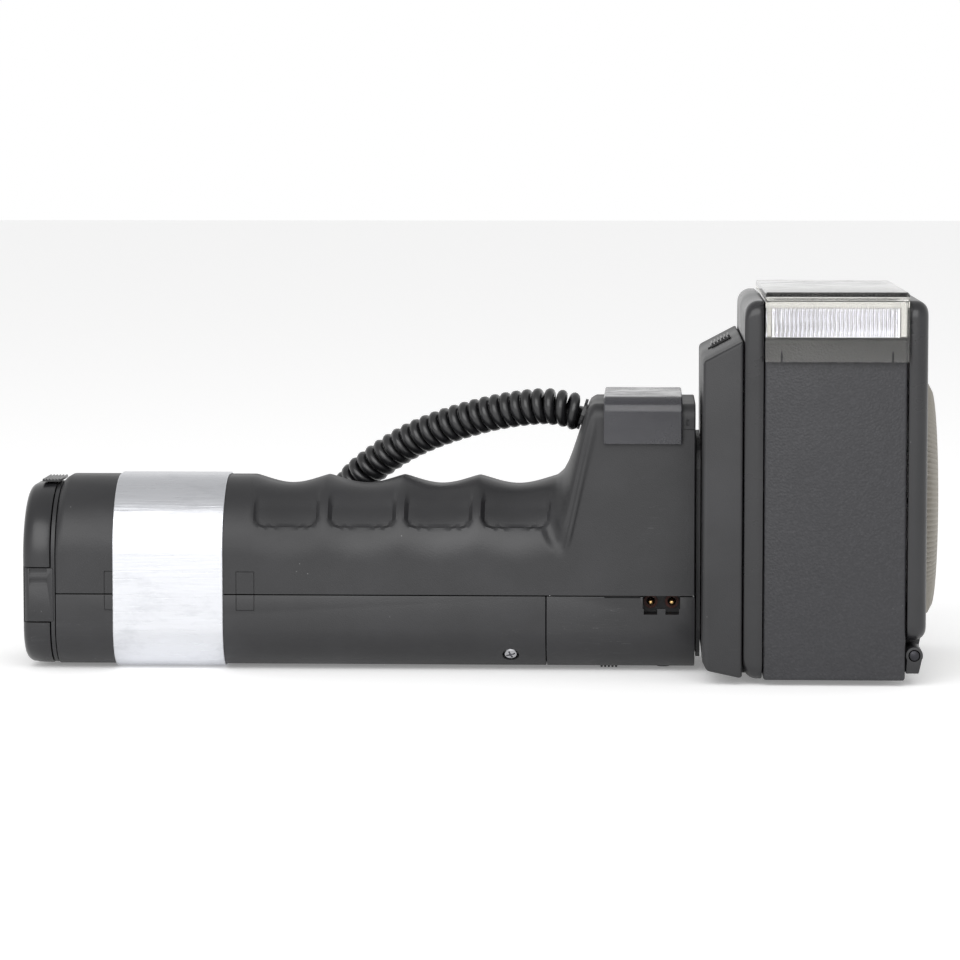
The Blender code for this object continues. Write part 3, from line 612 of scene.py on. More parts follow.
def dent(x, z):
    """How far the side of the handle is pressed in: finger pockets, thumb scoop and raised lip."""
    depth = 0.0
    for left, right in zip(FINGER_RIDGES, FINGER_RIDGES[1:]):
        if left < x < right:
            aside = max(left + 1.0 + POCKET_CORNER - x, x - (right - 1.2 - POCKET_CORNER), 0.0)
            below = max(POCKET_LOW - 1.0 + POCKET_CORNER - z, 0.0)
            reach = math.hypot(aside, below)
            depth = POCKET_DEPTH * (1 - smooth_step(reach, POCKET_CORNER - 1.1, POCKET_CORNER))
    depth *= 1 - smooth_step(z, 45.0, 50.0)
    scoop = math.hypot((x - 20.6) / 4.6, (z - 38.6 + 0.9 * (x - 20.6)) / 6.0)
    depth = max(depth, 1.1 * (1 - smooth_step(scoop, 0.2, 1.0)))
    lip_x = 24.6 + (z - 34.7) * 0.219
    if z > 33.0:
        near = 1 - smooth_step(abs(x - lip_x), 0.3, 1.0)
        depth -= 0.45 * near * smooth_step(z, 33.0, 37.0) * (1 - smooth_step(z, 66.0, 70.0))
    return depth


def arch(half, level, high, radius, side_steps=30, arc_steps=44):
    """Points and outward directions (y, z, ny, nz) from one seam over the front to the other."""
    quarter = []
    foot = high - radius
    for i in range(side_steps):
        quarter.append((half, level + (foot - level) * i / side_steps, 1.0, 0.0))
    for i in range(arc_steps + 1):
        a = math.pi / 2 * i / arc_steps
        ny, nz = math.cos(a), math.sin(a)
        quarter.append((half - radius + radius * ny, foot + radius * nz, ny, nz))
    return quarter + [(-y, z, -ny, nz) for y, z, ny, nz in quarter[::-1]]


def back_arch(offset, level, steps=24):
    half, low, radius = HANDLE_HALF + offset, HANDLE_BACK - offset, BACK_RADIUS + offset
    points = [(-half, level)] + arc((radius - half, low + radius), radius, 180, 270, steps)
    return points + arc((half - radius, low + radius), radius, 270, 360, steps) + [(half, level)]


def handle_outline(offset, drop=0.0, steps=24):
    half, low, high = HANDLE_HALF + offset, HANDLE_BACK - offset, HANDLE_FRONT + offset - drop
    small, big = BACK_RADIUS + offset, FRONT_RADIUS + offset
    points = arc((half - small, low + small), small, -90, 0, steps)
    points += arc((half - big, high - big), big, 0, 90, steps)
    points += arc((big - half, high - big), big, 90, 180, steps)
    return points + arc((small - half, low + small), small, 180, 270, steps)


def steps_between(start, stop, size):
    count = max(1, round((stop - start) / size))
    return [start + (stop - start) * i / count for i in range(count)]


def groove_frame(x, z, size, depth=0.35, width=0.24):
    """Cutters for a thin rectangular groove in the near side, as round a snap-fit hook."""
    half_x, half_z = size[0] / 2, size[1] / 2
    face = -HANDLE_HALF
    bars = []
    for sign in (-1, 1):
        bars.append(block((x + sign * half_x - width / 2, face - 1, z - half_z),
                          (x + sign * half_x + width / 2, face + depth, z + half_z)))
        bars.append(block((x - half_x, face - 1, z + sign * half_z - width / 2),
                          (x + half_x, face + depth, z + sign * half_z + width / 2)))
    return bars


def shell_rings():
    """Sections of the front shell from the battery end to the neck end, outside and lining in one loop."""
    stations = steps_between(HANDLE_START, HANDLE_START + END_ROUND, 0.4) + [HANDLE_START + END_ROUND, -70.0]
    stations += steps_between(-64.0, 35.0, 0.55) + [35.0, HANDLE_END - 0.3, HANDLE_END]
    rings = []
    for x in stations:
        high = front_height(x)
        blend = smooth_step(x, SHOULDER_PROFILE[0][0] - 2, SHOULDER_PROFILE[-1][0])
        radius = FRONT_RADIUS + (SHOULDER_RADIUS - FRONT_RADIUS) * blend
        inset = 0.25 if x in (HANDLE_START, HANDLE_END) else 0.0
        outer = []
        for y, z, ny, nz in arch(HANDLE_HALF, SEAM_HIGH, high, radius):
            push = dent(x, z) + inset
            outer.append((y - ny * push, max(z - nz * push, SEAM_HIGH)))
        inside = min(high, front_height(x - WALL)) - WALL
        lining = arch(HANDLE_HALF - WALL, SEAM_HIGH, inside, max(radius - WALL, 1.0))
        inner = [(y, z) for y, z, _, _ in lining]
        rings.append(along("X", x, outer + inner[::-1]))
    return rings


def make_front_shell(satin):
    shell = piece("handle_body", loft(shell_rings()), satin, "handle", "black_plastic", "handle_shell")
    window_start, window_end = low_of("subflash_window")[0], high_of("subflash_window")[0]
    seat = block((window_start - GAP, -30, 66.5), (window_end + GAP, 30, 80))
    hole = turned("Z", (0, 0), [(-6, 3.3), (6, 3.3)], count=24)
    hole.transform(Matrix.Translation(CORD_EXIT * MM) @ cord_turn())
    hooks = [bar for x, wide in HOOK_PLACES for bar in groove_frame(x, SEAM_HIGH + 3.0, (wide, 6.2))]
    face = -HANDLE_HALF
    panel = [block((56.1, face - 1, 66.4), (HANDLE_END + 1, face + 0.35, 66.65)),
             block((56.0, face - 1, 66.4), (56.25, face + 0.35, 80)),
             block((56.9, face - 1, 67.6), (57.7, face + 0.7, 69.2))]
    carve(shell, seat, hole, *panel, *hooks)


def make_back_covers(satin):
    profile = back_arch(0.0, SEAM_LOW) + back_arch(-WALL, SEAM_LOW)[::-1]
    rear = bevel(prism("X", profile, HANDLE_START, COVER_SPLIT), 0.12, 2)
    rear = piece("rear_shell", rear, satin, "handle", "black_plastic", "rear_cover")
    seats = [screw_shape(node, sign, [(7.0, 2.3), (13.0, 2.3)]) for node, sign in SCREW_SIDES]
    lower = [bar for x, wide in HOOK_PLACES for bar in groove_frame(x, SEAM_LOW - 1.6, (wide, 5.2))]
    carve(rear, *seats, *lower)
    control = bevel(prism("X", profile, CONTROL_START, HANDLE_END), 0.12, 2)
    control = piece("control_shell", control, satin, "handle", "black_plastic", "control_cover")
    carve_controls(control)


def make_band(band):
    x0, x1 = low_of("grip_band")[0], high_of("grip_band")[0]
    outer, inner = handle_outline(BAND_PROUD), handle_outline(0.1)
    edge = handle_outline(BAND_PROUD - 0.15)
    rings = [along("X", x0, edge), along("X", x0 + 0.15, outer), along("X", x1 - 0.15, outer),
             along("X", x1, edge), along("X", x1, inner), along("X", x0, inner)]
    piece("band", loft(rings, closed=True), band, "handle", "aluminium_band", "grip_band", angle=30)


def cord_turn():
    """Turns the Z axis into the direction in which the cord leaves the shoulder."""
    return Vector((0, 0, 1)).rotation_difference(CORD_HEADING).to_matrix().to_4x4()


def screw_place(node, sign):
    """Matrix of a cover screw, whose axis leans out of the rounded back edge."""
    lean = math.radians(48)
    x = middle_of(node)[0]
    outwards = Vector((0, sign * math.sin(lean), -math.cos(lean)))
    foot = Vector((x, sign * (HANDLE_HALF - BACK_RADIUS), HANDLE_BACK + BACK_RADIUS))
    turn = Vector((0, 0, 1)).rotation_difference(outwards).to_matrix().to_4x4()
    return Matrix.Translation(foot * MM) @ turn


def screw_shape(node, sign, profile):
    bm = turned("Z", (0, 0), profile, count=40)
    bm.transform(screw_place(node, sign))
    return bm


def make_screw(node, sign, steel):
    head = [(4.0, 1.1), (9.3, 1.1), (9.5, 1.9), (10.35, 1.9), (10.7, 1.6), (10.85, 0.9), (10.88, 0.2)]
    screw = piece(node + "_head", screw_shape(node, sign, head), steel, "handle", "screw_steel", node)
    slots = []
    for size in ((1.3, 0.26), (0.26, 1.3)):
        cross = block((-size[0], -size[1], 9.9), (size[0], size[1], 12.0))
        cross.transform(screw_place(node, sign) @ Matrix.Rotation(math.radians(20), 4, "Z"))
        slots.append(cross)
    carve(screw, *slots)


def carve_controls(control):
    """The openings in the control cover: socket mouth, power slot, test button, lamp and seam notch."""
    x0, x1 = low_of("sync_socket_block")[0] + 1.1, high_of("sync_socket_block")[0] - 1.1
    middle = (x0 + x1) / 2
    mouth = block((x0, -24, 17.6), (x1, -20, 22))
    steps = [block((x0 + 0.3, -24, 16.0), (middle - 1.1, -20, 18)),
             block((middle + 1.1, -24, 16.0), (x1 - 0.3, -20, 18))]
    low, high = low_of("power_slide"), high_of("power_slide")
    slot = block((low[0] + 2.0 - GAP, low[1] - GAP, -1), (high[0] + 1.8, high[1] + GAP, 5))
    low, high = low_of("test_button"), high_of("test_button")
    button_x = middle_of("test_button")[0]
    oval = rounded((button_x - 2.4, low[1] - GAP), (button_x + 2.4, high[1] + GAP), 2.2)
    button = prism("Z", oval, -1, 5)
    lamp = prism("Z", circle(middle_of("ready_lamp")[:2], 2.3, 32), -1, 5)
    notch = block((34.8, -24, SEAM_LOW - 0.35), (x0 - 0.6, -21.5, SEAM_LOW + 1))
    carve(control, mouth, *steps, slot, button, lamp, notch)


def make_socket(satin, brass):
    low, high = low_of("sync_socket_block"), high_of("sync_socket_block")
    seat = piece("socket_body", block(low, high), satin, "handle", "black_plastic", "sync_socket_block")
    pins = ("socket_pin_left", "socket_pin_right")
    cutters = [block((low[0] + 1.1, -22, 15.8), (high[0] - 1.1, -14.0, 22))]
    for node in pins:
        cutters.append(turned("Y", middle_of(node)[::2], [(-15, 1.1), (-9, 1.1)], count=24))
    carve(seat, *cutters)
    red = coated("pin_seat_red", (0.12, 0.03, 0.02), 0.5)
    profile = [(-18.0, 0.25), (-17.9, 0.5), (-17.5, 0.72), (-17.0, 0.8), (-8.5, 0.8)]
    ring = [(-14.6, 1.2), (-14.6, 1.9), (-13.9, 1.9), (-13.9, 1.2)]
    for node in pins:
        centre = middle_of(node)[::2]
        piece(node + "_tip", turned("Y", centre, profile, count=28), brass, "handle", "brass", node)
        seat = turned("Y", centre, ring, closed=True, count=28)
        piece(node + "_seat", seat, red, "handle", "brass", node)


def make_back_controls(gloss, amber):
    low, high = low_of("power_slide"), high_of("power_slide")
    x0, x1, seat = low[0] + 2.0, high[0] - 2.0, HANDLE_BACK + WALL + GAP
    outline = [(x0, seat), (x0, low[2] + 0.5)]
    ribs = 5
    pitch = (x1 - x0) / ribs
    for i in range(ribs):
        start = x0 + pitch * i
        outline += [(start + 0.12 * pitch, low[2]), (start + 0.6 * pitch, low[2])]
        outline += [(start + 0.75 * pitch, low[2] + 0.55), (start + 0.97 * pitch, low[2] + 0.55)]
    outline += [(x1, low[2] + 0.5), (x1, seat), (high[0], seat), (high[0], high[2]), (low[0], high[2]),
                (low[0], seat)]
    key = prism("Y", outline, low[1], high[1])
    piece("power_key", key, gloss, "power", "gloss_black_plastic", "power_slide")

    low, high = low_of("test_button"), high_of("test_button")
    x0, x1 = low[0] + 1.4, high[0] - 1.4
    oval = rounded((x0, low[1]), (x1, high[1]), 2.0)
    small = rounded((x0 + 0.35, low[1] + 0.35), (x1 - 0.35, high[1] - 0.35), 1.65)
    rings = [along("Z", high[2] - 1.5, oval), along("Z", low[2] + 0.35, oval), along("Z", low[2], small)]
    stem = loft(rings)
    foot = bevel(block((low[0], low[1], seat), (high[0], high[1], high[2])), 0.2, 2)
    piece("test_key", join(stem, foot), gloss, "test", "gloss_black_plastic", "test_button")

    low, high = low_of("ready_lamp"), high_of("ready_lamp")
    angles = (0.15, 0.4, 0.7, 1.0, 1.3, math.pi / 2)
    dome = [(low[2] + 2.0 * (1 - math.cos(a)), 2.0 * math.sin(a)) for a in angles]
    lamp = turned("Z", middle_of("ready_lamp")[:2], dome + [(high[2], 2.0)], count=32)
    piece("lamp_lens", lamp, amber, "handle", "lamp_orange", "ready_lamp")


def make_subflash(clear):
    low, high = low_of("subflash_window"), high_of("subflash_window")
    body = bevel(block((low[0], low[1], low[2]), high), 0.5, 3)
    window = piece("subflash_pane", body, clear, "handle", "clear_plastic", "subflash_window")
    hollow = block((low[0] + 1.5, low[1] + 1.5, low[2] - 1), (high[0] - 1.5, high[1] - 1.5, high[2] - 1.6))
    carve(window, hollow)


# ---------------------------------------------------------------- battery cap

TONGUE_LOW, TONGUE_HIGH = 13.0, 28.3


def make_cap(gloss, satin):
    start, stop = low_of("battery_cap")[0], high_of("battery_cap")[0]

    def ring(x, offset):
        return along("X", x, handle_outline(offset, END_DROP))

    rings = [ring(start + 2.6, -3.0), ring(stop, -2.6), ring(stop, -0.3), ring(stop - 0.25, -0.1),
             ring(stop - 4.0, -0.25)]
    turn_radius = 2.8
    for degrees in (20, 40, 55, 70, 82):
        a = math.radians(degrees)
        rings.append(ring(start + turn_radius * (1 - math.sin(a)), -0.35 - turn_radius * (1 - math.cos(a))))
    rings.append(ring(start, -4.4))
    cap = piece("cap_shell", loft(rings), gloss, "cassette", "gloss_black_plastic", "battery_cap", angle=50)
    slots = []
    for near, far in both_sides(20.6, 26.0):
        slots.append(block((start - 2, near, TONGUE_LOW), (stop + 2, far, TONGUE_HIGH)))
    carve(cap, *slots, angle=50)

    outer, inner = handle_outline(-0.4, END_DROP), handle_outline(-WALL, END_DROP)
    x0, x1 = stop + 0.4, high_of("chamber_collar")[0]
    rings = [along("X", x0, outer), along("X", x1, outer), along("X", x1, inner), along("X", x0, inner)]
    collar = piece("collar", loft(rings, closed=True), satin, "handle", "black_plastic", "chamber_collar")
    tongues, grips = [], []
    for sign in (-1, 1):
        inside, outside = sign * 20.9, sign * 22.9
        tip = low_of("chamber_collar")[0]
        plan = [(tip + 0.5, inside), (x0 + 0.6, inside), (x0 + 0.6, outside), (tip + 0.9, outside),
                (tip, outside - sign * 0.9)]
        tongues.append(bevel(prism("Z", plan, TONGUE_LOW + GAP, TONGUE_HIGH - GAP), 0.25, 2))
        for z in (24.2, 27.0):
            grips.append(turned("X", (sign * 24.3, z), [(tip + 1.4, 1.72), (tip + 6.2, 1.72)]))
    carve(collar, *tongues, union=True)
    carve(collar, *grips)

    low, high = low_of("cap_latch"), high_of("cap_latch")
    profile = [(low[0], low[2]), (high[0], low[2]), (high[0], high[2] - 0.2), (high[0] - 0.2, high[2])]
    ribs = 5
    pitch = (high[0] - low[0] - 0.6) / ribs
    for i in range(ribs):
        x = high[0] - 0.4 - pitch * i
        profile += [(x, high[2]), (x - 0.25 * pitch, high[2] - 0.4), (x - 0.6 * pitch, high[2] - 0.4),
                    (x - 0.85 * pitch, high[2])]
    profile += [(low[0] + 0.2, high[2]), (low[0], high[2] - 0.2)]
    key = prism("Y", profile, low[1], high[1])
    piece("latch_slide_key", key, gloss, "latch", "gloss_black_plastic", "cap_latch")


# ---------------------------------------------------------------- neck and head

NECK_START, NECK_END, NECK_RISE = 61.1, 71.7, 5.6
SWIVEL_RADIUS, SPIGOT_BORE = 9.0, 6.5
LENS_PITCH = 1.12


def swivel_height():
    """Height of the swivel axis, the middle of the round clip."""
    return low_of("swivel_clip")[2] + 12.5


def plan_ring(x, half, low, high, radius):
    return along("X", x, rounded((-half, low), (half, high), radius, 8))


def make_neck(satin, gloss):
    low, high = low_of("neck_plate"), high_of("neck_plate")
    start, stop = NECK_START, NECK_END
    half, front = high[1], high[2]
    face = [(start, low[2] + 4.5), (start, front - NECK_RISE), (stop, front), (stop, low[2]),
            (start + 1.2, low[2] + 2.0)]
    plate = bevel(prism("Y", face, -half, half), 0.9, 4)
    plate = piece("neck_shell", plate, satin, "neck", "black_plastic", "neck_plate")
    run = Vector((stop - start, NECK_RISE)).normalized()
    rise = Vector((-run.y, run.x))

    def sloped(points):
        """Places given along the slope of the neck and above it."""
        spots = [Vector((start, front - NECK_RISE)) + run * a + rise * h for a, h in points]
        return [(spot.x, spot.y) for spot in spots]

    slot = prism("Y", sloped(((2.2, -6), (8.4, -6), (8.4, 2), (2.2, 2))), -5, 5)
    pocket = block((63.4, -44.4, 11.5), (75, 44.4, front - 8.3))
    carve(plate, slot, pocket)
    swivel_z = swivel_height()
    spigot = [(52.4, SWIVEL_RADIUS), (64.5, SWIVEL_RADIUS), (64.5, SPIGOT_BORE), (52.4, SPIGOT_BORE)]
    tilt_x, _, tilt_z = middle_of("tilt_pin")
    lugs = [turned("X", (0, swivel_z), spigot, closed=True)]
    for near, far in both_sides(24.6, 33.4):
        ear = arc((tilt_x, tilt_z), 4.2, -90, 90, 24)
        ear = [(stop - 3, tilt_z - 4.2)] + ear + [(stop - 3, tilt_z + 4.2)]
        lugs.append(prism("Y", ear, near, far))
    carve(plate, turned("X", (0, swivel_z), [(50, SPIGOT_BORE), (70, SPIGOT_BORE)]))
    piece("neck_lugs", join(*lugs), satin, "neck", "black_plastic", "neck_plate")

    ribs = [(3.2, 0.25), (9.2, 0.25), (9.2, 0.95)]
    for i in range(6):
        a = 9.2 - i
        ribs += [(a - 0.1, 1.25), (a - 0.5, 1.25), (a - 0.65, 0.75), (a - 0.95, 0.75)]
    ribs += [(3.2, 0.95)]
    key = prism("Y", sloped(ribs), -6.5, 6.5)
    stem = prism("Y", sloped(((5.0, -2.5), (7.9, -2.5), (7.9, 0.6), (5.0, 0.6))), -4.4, 4.4)
    piece("release_key", join(key, stem), gloss, "tilt_release", "gloss_black_plastic", "tilt_release")


def make_head(pebble, gloss):
    low, high = low_of("head_base"), high_of("head_base")
    start, half = low[0], high[1]
    case_low, case_high = low_of("head_case"), high_of("head_case")
    rim_end = case_low[0] - GAP

    def ring(x, side, ends, wall=0.0):
        corner = max(4.0 - side - wall, 0.8)
        return plan_ring(x, half - side - wall, low[2] + ends + wall, high[2] - ends - wall, corner)

    rings = [ring(start + 2.4, 0, 0, 2.4), ring(rim_end, 0, 0, 2.4), ring(rim_end, 0.25, 0.25),
             ring(rim_end - 0.3, 0, 0)]
    for degrees in (0, 15, 30, 45, 60, 75, 88):
        a = math.radians(degrees)
        side, ends = 0.9 * (1 - math.cos(a)), 3.6 * (1 - math.cos(a))
        rings.append(ring(start + 3.6 * (1 - math.sin(a)) * (1.0 if degrees else 0.9), side, ends))
    rim = piece("rim_shell", loft(rings), gloss, "head", "gloss_black_plastic", "head_base", angle=50)
    case = bevel(block(case_low, case_high), 0.8, 4)
    case = piece("case_shell", case, pebble, "head", "textured_black_plastic", "head_case")
    hollow = block((70, -45, case_low[2] + 2), (case_high[0] - 2, 45, 110))
    tilt_x, _, tilt_z = middle_of("tilt_pin")
    notches = []
    for near, far in both_sides(24.3, 33.7):
        notches.append(((start - 2, near, low[2] - 2), (tilt_x + 4.8, far, tilt_z + 4.8)))
    carve(case, hollow, *[block(*notch) for notch in notches])
    bore = turned("X", (0, swivel_height()), [(start - 3, SWIVEL_RADIUS), (start + 4, SWIVEL_RADIUS)])
    carve(rim, bore, *[block(*notch) for notch in notches], angle=50)
    lugs = []
    for near, far in both_sides(33.7, 38.4):
        lugs.append(bevel(block((start + 1.2, near, 4.2), (81.0, far, 10.0)), 0.4, 2))
    piece("rim_lugs", join(*lugs), gloss, "head", "gloss_black_plastic", "head_base")


def make_lens(lens):
    low, high = low_of("front_lens"), high_of("front_lens")
    pane = piece("lens_box", bevel(block(low, high), 0.6, 3), lens, "head", "clear_plastic", "front_lens")
    hollow = block((low[0] + 1.8, low[1] + 1.8, low[2] - 1), (high[0] - 1.8, high[1] - 1.8, high[2] - 2.0))
    carve(pane, hollow)
    ribs = []
    count = int((high[0] - low[0] - 4.5) / LENS_PITCH)
    first = middle_of("front_lens")[0] - LENS_PITCH * (count - 1) / 2
    for sign in (-1, 1):
        face = sign * (high[1] - 1.8)
        for i in range(count):
            x = first + LENS_PITCH * i
            ribs.append(prism("Z", circle((x, face), 0.42, 10), low[2] + 0.2, high[2] - 2.2))
    piece("lens_ribs", join(*ribs), lens, "head", "clear_plastic", "front_lens")
    ends = []
    for sign in (-1, 1):
        foot, top = high[1] - 2.9, high[1] - 4.4
        slope = [(sign * foot, low[2] + 0.4), (sign * (foot - 0.5), low[2] + 0.4),
                 (sign * (top - 0.5), high[2] - 2.3), (sign * top, high[2] - 2.3)]
        ends.append(prism("X", slope, low[0] + 2.2, high[0] - 2.2))
    foil = metal("reflector_foil", (0.68, 0.69, 0.76), 0.2)
    piece("reflector_ends", join(*ends), foil, "head", "reflector_metal", "front_lens")


def make_cover(gloss, ivory, steel):
    low, high = low_of("top_cover"), high_of("top_cover")
    start, stop, half = low[0], high[0], high[1]

    def ring(x, inset, wall=0.0):
        radius = max(4.5 - inset - wall, 0.8)
        return plan_ring(x, half - inset - wall, low[2] + inset + wall, high[2] - inset - wall, radius)

    rings = [ring(stop - 1.8, 0, 1.8), ring(start, 0, 1.8), ring(start, 0.25), ring(start + 0.3, 0)]
    for degrees in (0, 15, 30, 45, 60, 75, 88):
        a = math.radians(degrees)
        rings.append(ring(stop - 3.2 + 3.2 * math.sin(a), 3.2 * (1 - math.cos(a))))
    cover = piece("cover_shell", loft(rings), gloss, "cover", "gloss_black_plastic", "top_cover", angle=50)
    dial_z = middle_of("dial_ring")[2]
    carve(cover, turned("X", (0, dial_z), [(start - 4, 2.0), (stop + 4, 2.0)]), angle=50)

    outer = high_of("dial_ring")[1]
    foot, face = low_of("dial_ring")[0], high_of("dial_ring")[0]
    flutes, per_flute = 134, 6
    profile = [(foot, outer), (foot + 1.3, outer - 0.3), (face - 1.0, outer - 1.3), (face, outer - 3.2),
               (face, 25.2), (foot, 25.2)]
    rings = []
    for index, (x, radius) in enumerate(profile):
        points = []
        for i in range(flutes * per_flute):
            a = 2 * math.pi * i / (flutes * per_flute)
            wave = 0.9 * (0.5 - 0.5 * math.cos(a * flutes)) if index < 3 else 0.0
            points.append(((radius - wave) * math.cos(a), dial_z + (radius - wave) * math.sin(a)))
        rings.append(along("X", x, points))
    pointer = bevel(block((face - 1.2, -1.6, dial_z + 26.0), (face + 0.15, 1.6, dial_z + 29.6)), 0.3, 2)
    piece("dial_fluted", join(loft(rings, closed=True), pointer), ivory, "dial", "dial_ivory", "dial_ring")
    make_scale(dial_z, ivory, steel)


def make_scale(dial_z, ivory, steel):
    low, high = low_of("dial_scale"), high_of("dial_scale")
    face, radius = high[0], high[1]
    profile = [(low[0], radius), (face - 0.2, radius), (face, radius - 0.2), (face, 2.6), (low[0], 2.6)]
    disc = turned("X", (0, dial_z), profile, closed=True, count=96)
    piece("scale_disc", disc, ivory, "cover", "dial_ivory", "dial_scale")
    ink = coated("dial_ink", (0.02, 0.02, 0.02), 0.6)
    marks = []
    for i in range(60):
        a = 2 * math.pi * i / 60
        long = 2.6 if i % 5 == 0 else 1.3
        bar = block((face - 0.05, -0.14, radius - 1.0 - long), (face + 0.04, 0.14, radius - 1.0))
        bar.transform(Matrix.Translation((0, 0, dial_z * MM)) @ Matrix.Rotation(a, 4, "X"))
        marks.append(bar)
    line = [(face - 0.05, 13.2), (face + 0.04, 13.2), (face + 0.04, 12.9), (face - 0.05, 12.9)]
    marks.append(turned("X", (0, dial_z), line, closed=True, count=96))
    piece("scale_marks", join(*marks), ink, "cover", "dial_ivory", "dial_scale")
    numbers = ("2", "4", "5.6", "8", "11", "16", "22", "32", "1.4", "2.8", "45", "64")
    for index, text in enumerate(numbers):
        a = math.radians(30 * index)
        bm = text_shape(text, 3.0)
        place = Matrix.Translation((face * MM, 0, dial_z * MM)) @ Matrix.Rotation(-a, 4, "X")
        bm.transform(place @ Matrix.Translation((0, 0, 17.6 * MM)) @ standing())
        piece("scale_number_%d" % (index + 1), bm, ink, "cover", "dial_ivory", "dial_scale")
    low, high = low_of("dial_rivet"), high_of("dial_rivet")
    radius = high[1]
    profile = [(low[0], 1.6), (face + 0.15, 1.6), (face + 0.15, radius), (high[0] - 0.6, radius),
               (high[0] - 0.2, radius - 0.4), (high[0], radius - 1.4), (high[0] + 0.05, 0.3)]
    rivet = turned("X", (0, dial_z), profile, count=40)
    piece("rivet_head", rivet, steel, "cover", "bright_steel", "dial_rivet")


def standing():
    """Turns lettering from the XY plane to face +X with its top towards +Z."""
    return Matrix(((0, 0, 1, 0), (1, 0, 0, 0), (0, 1, 0, 0), (0, 0, 0, 1)))


def text_shape(text, size):
    curve = bpy.data.curves.new("digits", "FONT")
    curve.body = text
    curve.size = size * MM
    curve.extrude = 0.04 * MM
    curve.align_x = "CENTER"
    curve.align_y = "CENTER"
    obj = bpy.data.objects.new("digits", curve)
    bpy.context.collection.objects.link(obj)
    graph = bpy.context.evaluated_depsgraph_get()
    mesh = bpy.data.meshes.new_from_object(obj.evaluated_get(graph))
    bm = bmesh.new()
    bm.from_mesh(mesh)
    bpy.data.meshes.remove(mesh)
    bpy.data.objects.remove(obj)
    bpy.data.curves.remove(curve)
    return bm


# ---------------------------------------------------------------- slip-on adapters

def slip_on(low, high, wall, corner, steps=8):
    """A clear cap over the front: a front wall and two side walls, with round outer corners."""
    half, back, front = high[1], low[2], high[2]

    def section(inset):
        radius = max(corner - inset, 0.4)
        middle, height = half - inset - radius, front - inset - radius
        points = [(half - inset, back)] + arc((middle, height), radius, 0, 90, steps)
        return points + arc((-middle, height), radius, 90, 180, steps) + [(inset - half, back)]

    outer, inner = section(0.0), section(wall)
    small = section(0.35)
    x0, x1 = low[0], high[0]
    rings = [along("X", x0, small + inner[::-1]), along("X", x0 + 0.35, outer + inner[::-1]),
             along("X", x1 - 0.35, outer + inner[::-1]), along("X", x1, small + inner[::-1])]
    return loft(rings)


def make_adapters(clear, smoke):
    low, high = low_of("wide_diffuser"), high_of("wide_diffuser")
    diffuser = slip_on(low, high, 1.5, 2.4)
    diffuser = piece("diffuser_shell", diffuser, clear, "diffuser", "adapter_clear", "wide_diffuser")
    slits = []
    for near, far in both_sides(high[1] - 3, high[1] + 2):
        for x in (low[0] + 4.3, high[0] - 4.3):
            slits.append(block((x - 0.25, near, low[2] - 1), (x + 0.25, far, low[2] + 2.8)))
    carve(diffuser, *slits)
    ribs = []
    count = int((high[0] - low[0] - 4) / LENS_PITCH)
    for i in range(count):
        x = low[0] + 2.4 + LENS_PITCH * i
        ribs.append(prism("Y", circle((x, high[2] - 1.5), 0.4, 8), low[1] + 3, high[1] - 3))
    piece("diffuser_ribs", join(*ribs), clear, "diffuser", "adapter_clear", "wide_diffuser")

    low, high = low_of("sensor_cap"), high_of("sensor_cap")
    piece("smoke_cap", slip_on(low, high, 1.4, 4.2), smoke, "sensor_cap", "smoke_plastic", "sensor_cap")


# ---------------------------------------------------------------- hinge and inner parts

def make_hinge(satin, steel):
    near, far = low_of("cover_pin")[1], high_of("cover_pin")[1]
    x, _, z = middle_of("cover_pin")
    pin = [(near, 0.9), (near + 0.25, 1.3), (far - 0.25, 1.3), (far, 0.9)]
    piece("hinge_pin", turned("Y", (x, z), pin, count=32), steel, "head", "bright_steel", "cover_pin")
    for node in ("hinge_leaf_near", "hinge_leaf_far"):
        low, high = low_of(node), high_of(node)
        outline = arc((x, z), 2.3, -30, 210, 28) + [(low[0], low[2]), (x + 1.2, low[2])]
        leaf = bevel(prism("Y", outline, low[1], high[1]), 0.25, 2)
        leaf = piece(node + "_barrel", leaf, satin, "head", "black_plastic", node)
        carve(leaf, turned("Y", (x, z), [(-50, 1.6), (50, 1.6)], count=32))
    low, high = low_of("cover_leaf"), high_of("cover_leaf")
    outline = arc((x, z), 2.3, 150, 390, 28) + [(high[0], high[2]), (low[0] + 0.2, high[2])]
    leaf = bevel(prism("Y", outline, low[1], high[1]), 0.25, 2)
    leaf = piece("cover_leaf_barrel", leaf, satin, "cover", "black_plastic", "cover_leaf")
    carve(leaf, turned("Y", (x, z), [(-50, 1.6), (50, 1.6)], count=32))


def make_cells(wrap, steel):
    for number in range(1, 7):
        node = "cell_%d" % number
        low, high = low_of(node), high_of(node)
        start, stop, r = low[0], high[0], (high[1] - low[1]) / 2
        centre = middle_of(node)[1:]
        sleeve = [(start + 0.5, r - 0.6), (start + 0.4, r), (stop - 1.6, r), (stop - 1.2, r - 0.5)]
        piece(node + "_wrap", turned("X", centre, sleeve), wrap, "cassette", "cell_wrap", node)
        base = [(start, 4.5), (start + 0.2, r - 0.9), (start + 0.45, r - 0.8)]
        cap = [(stop - 1.25, r - 1.2), (stop - 1.05, r - 1.3), (stop - 0.9, 2.9), (stop - 0.3, 2.6),
               (stop, 2.2)]
        ends = join(turned("X", centre, base), turned("X", centre, cap))
        piece(node + "_ends", ends, steel, "cassette", "bright_steel", node)


# ---------------------------------------------------------------- run

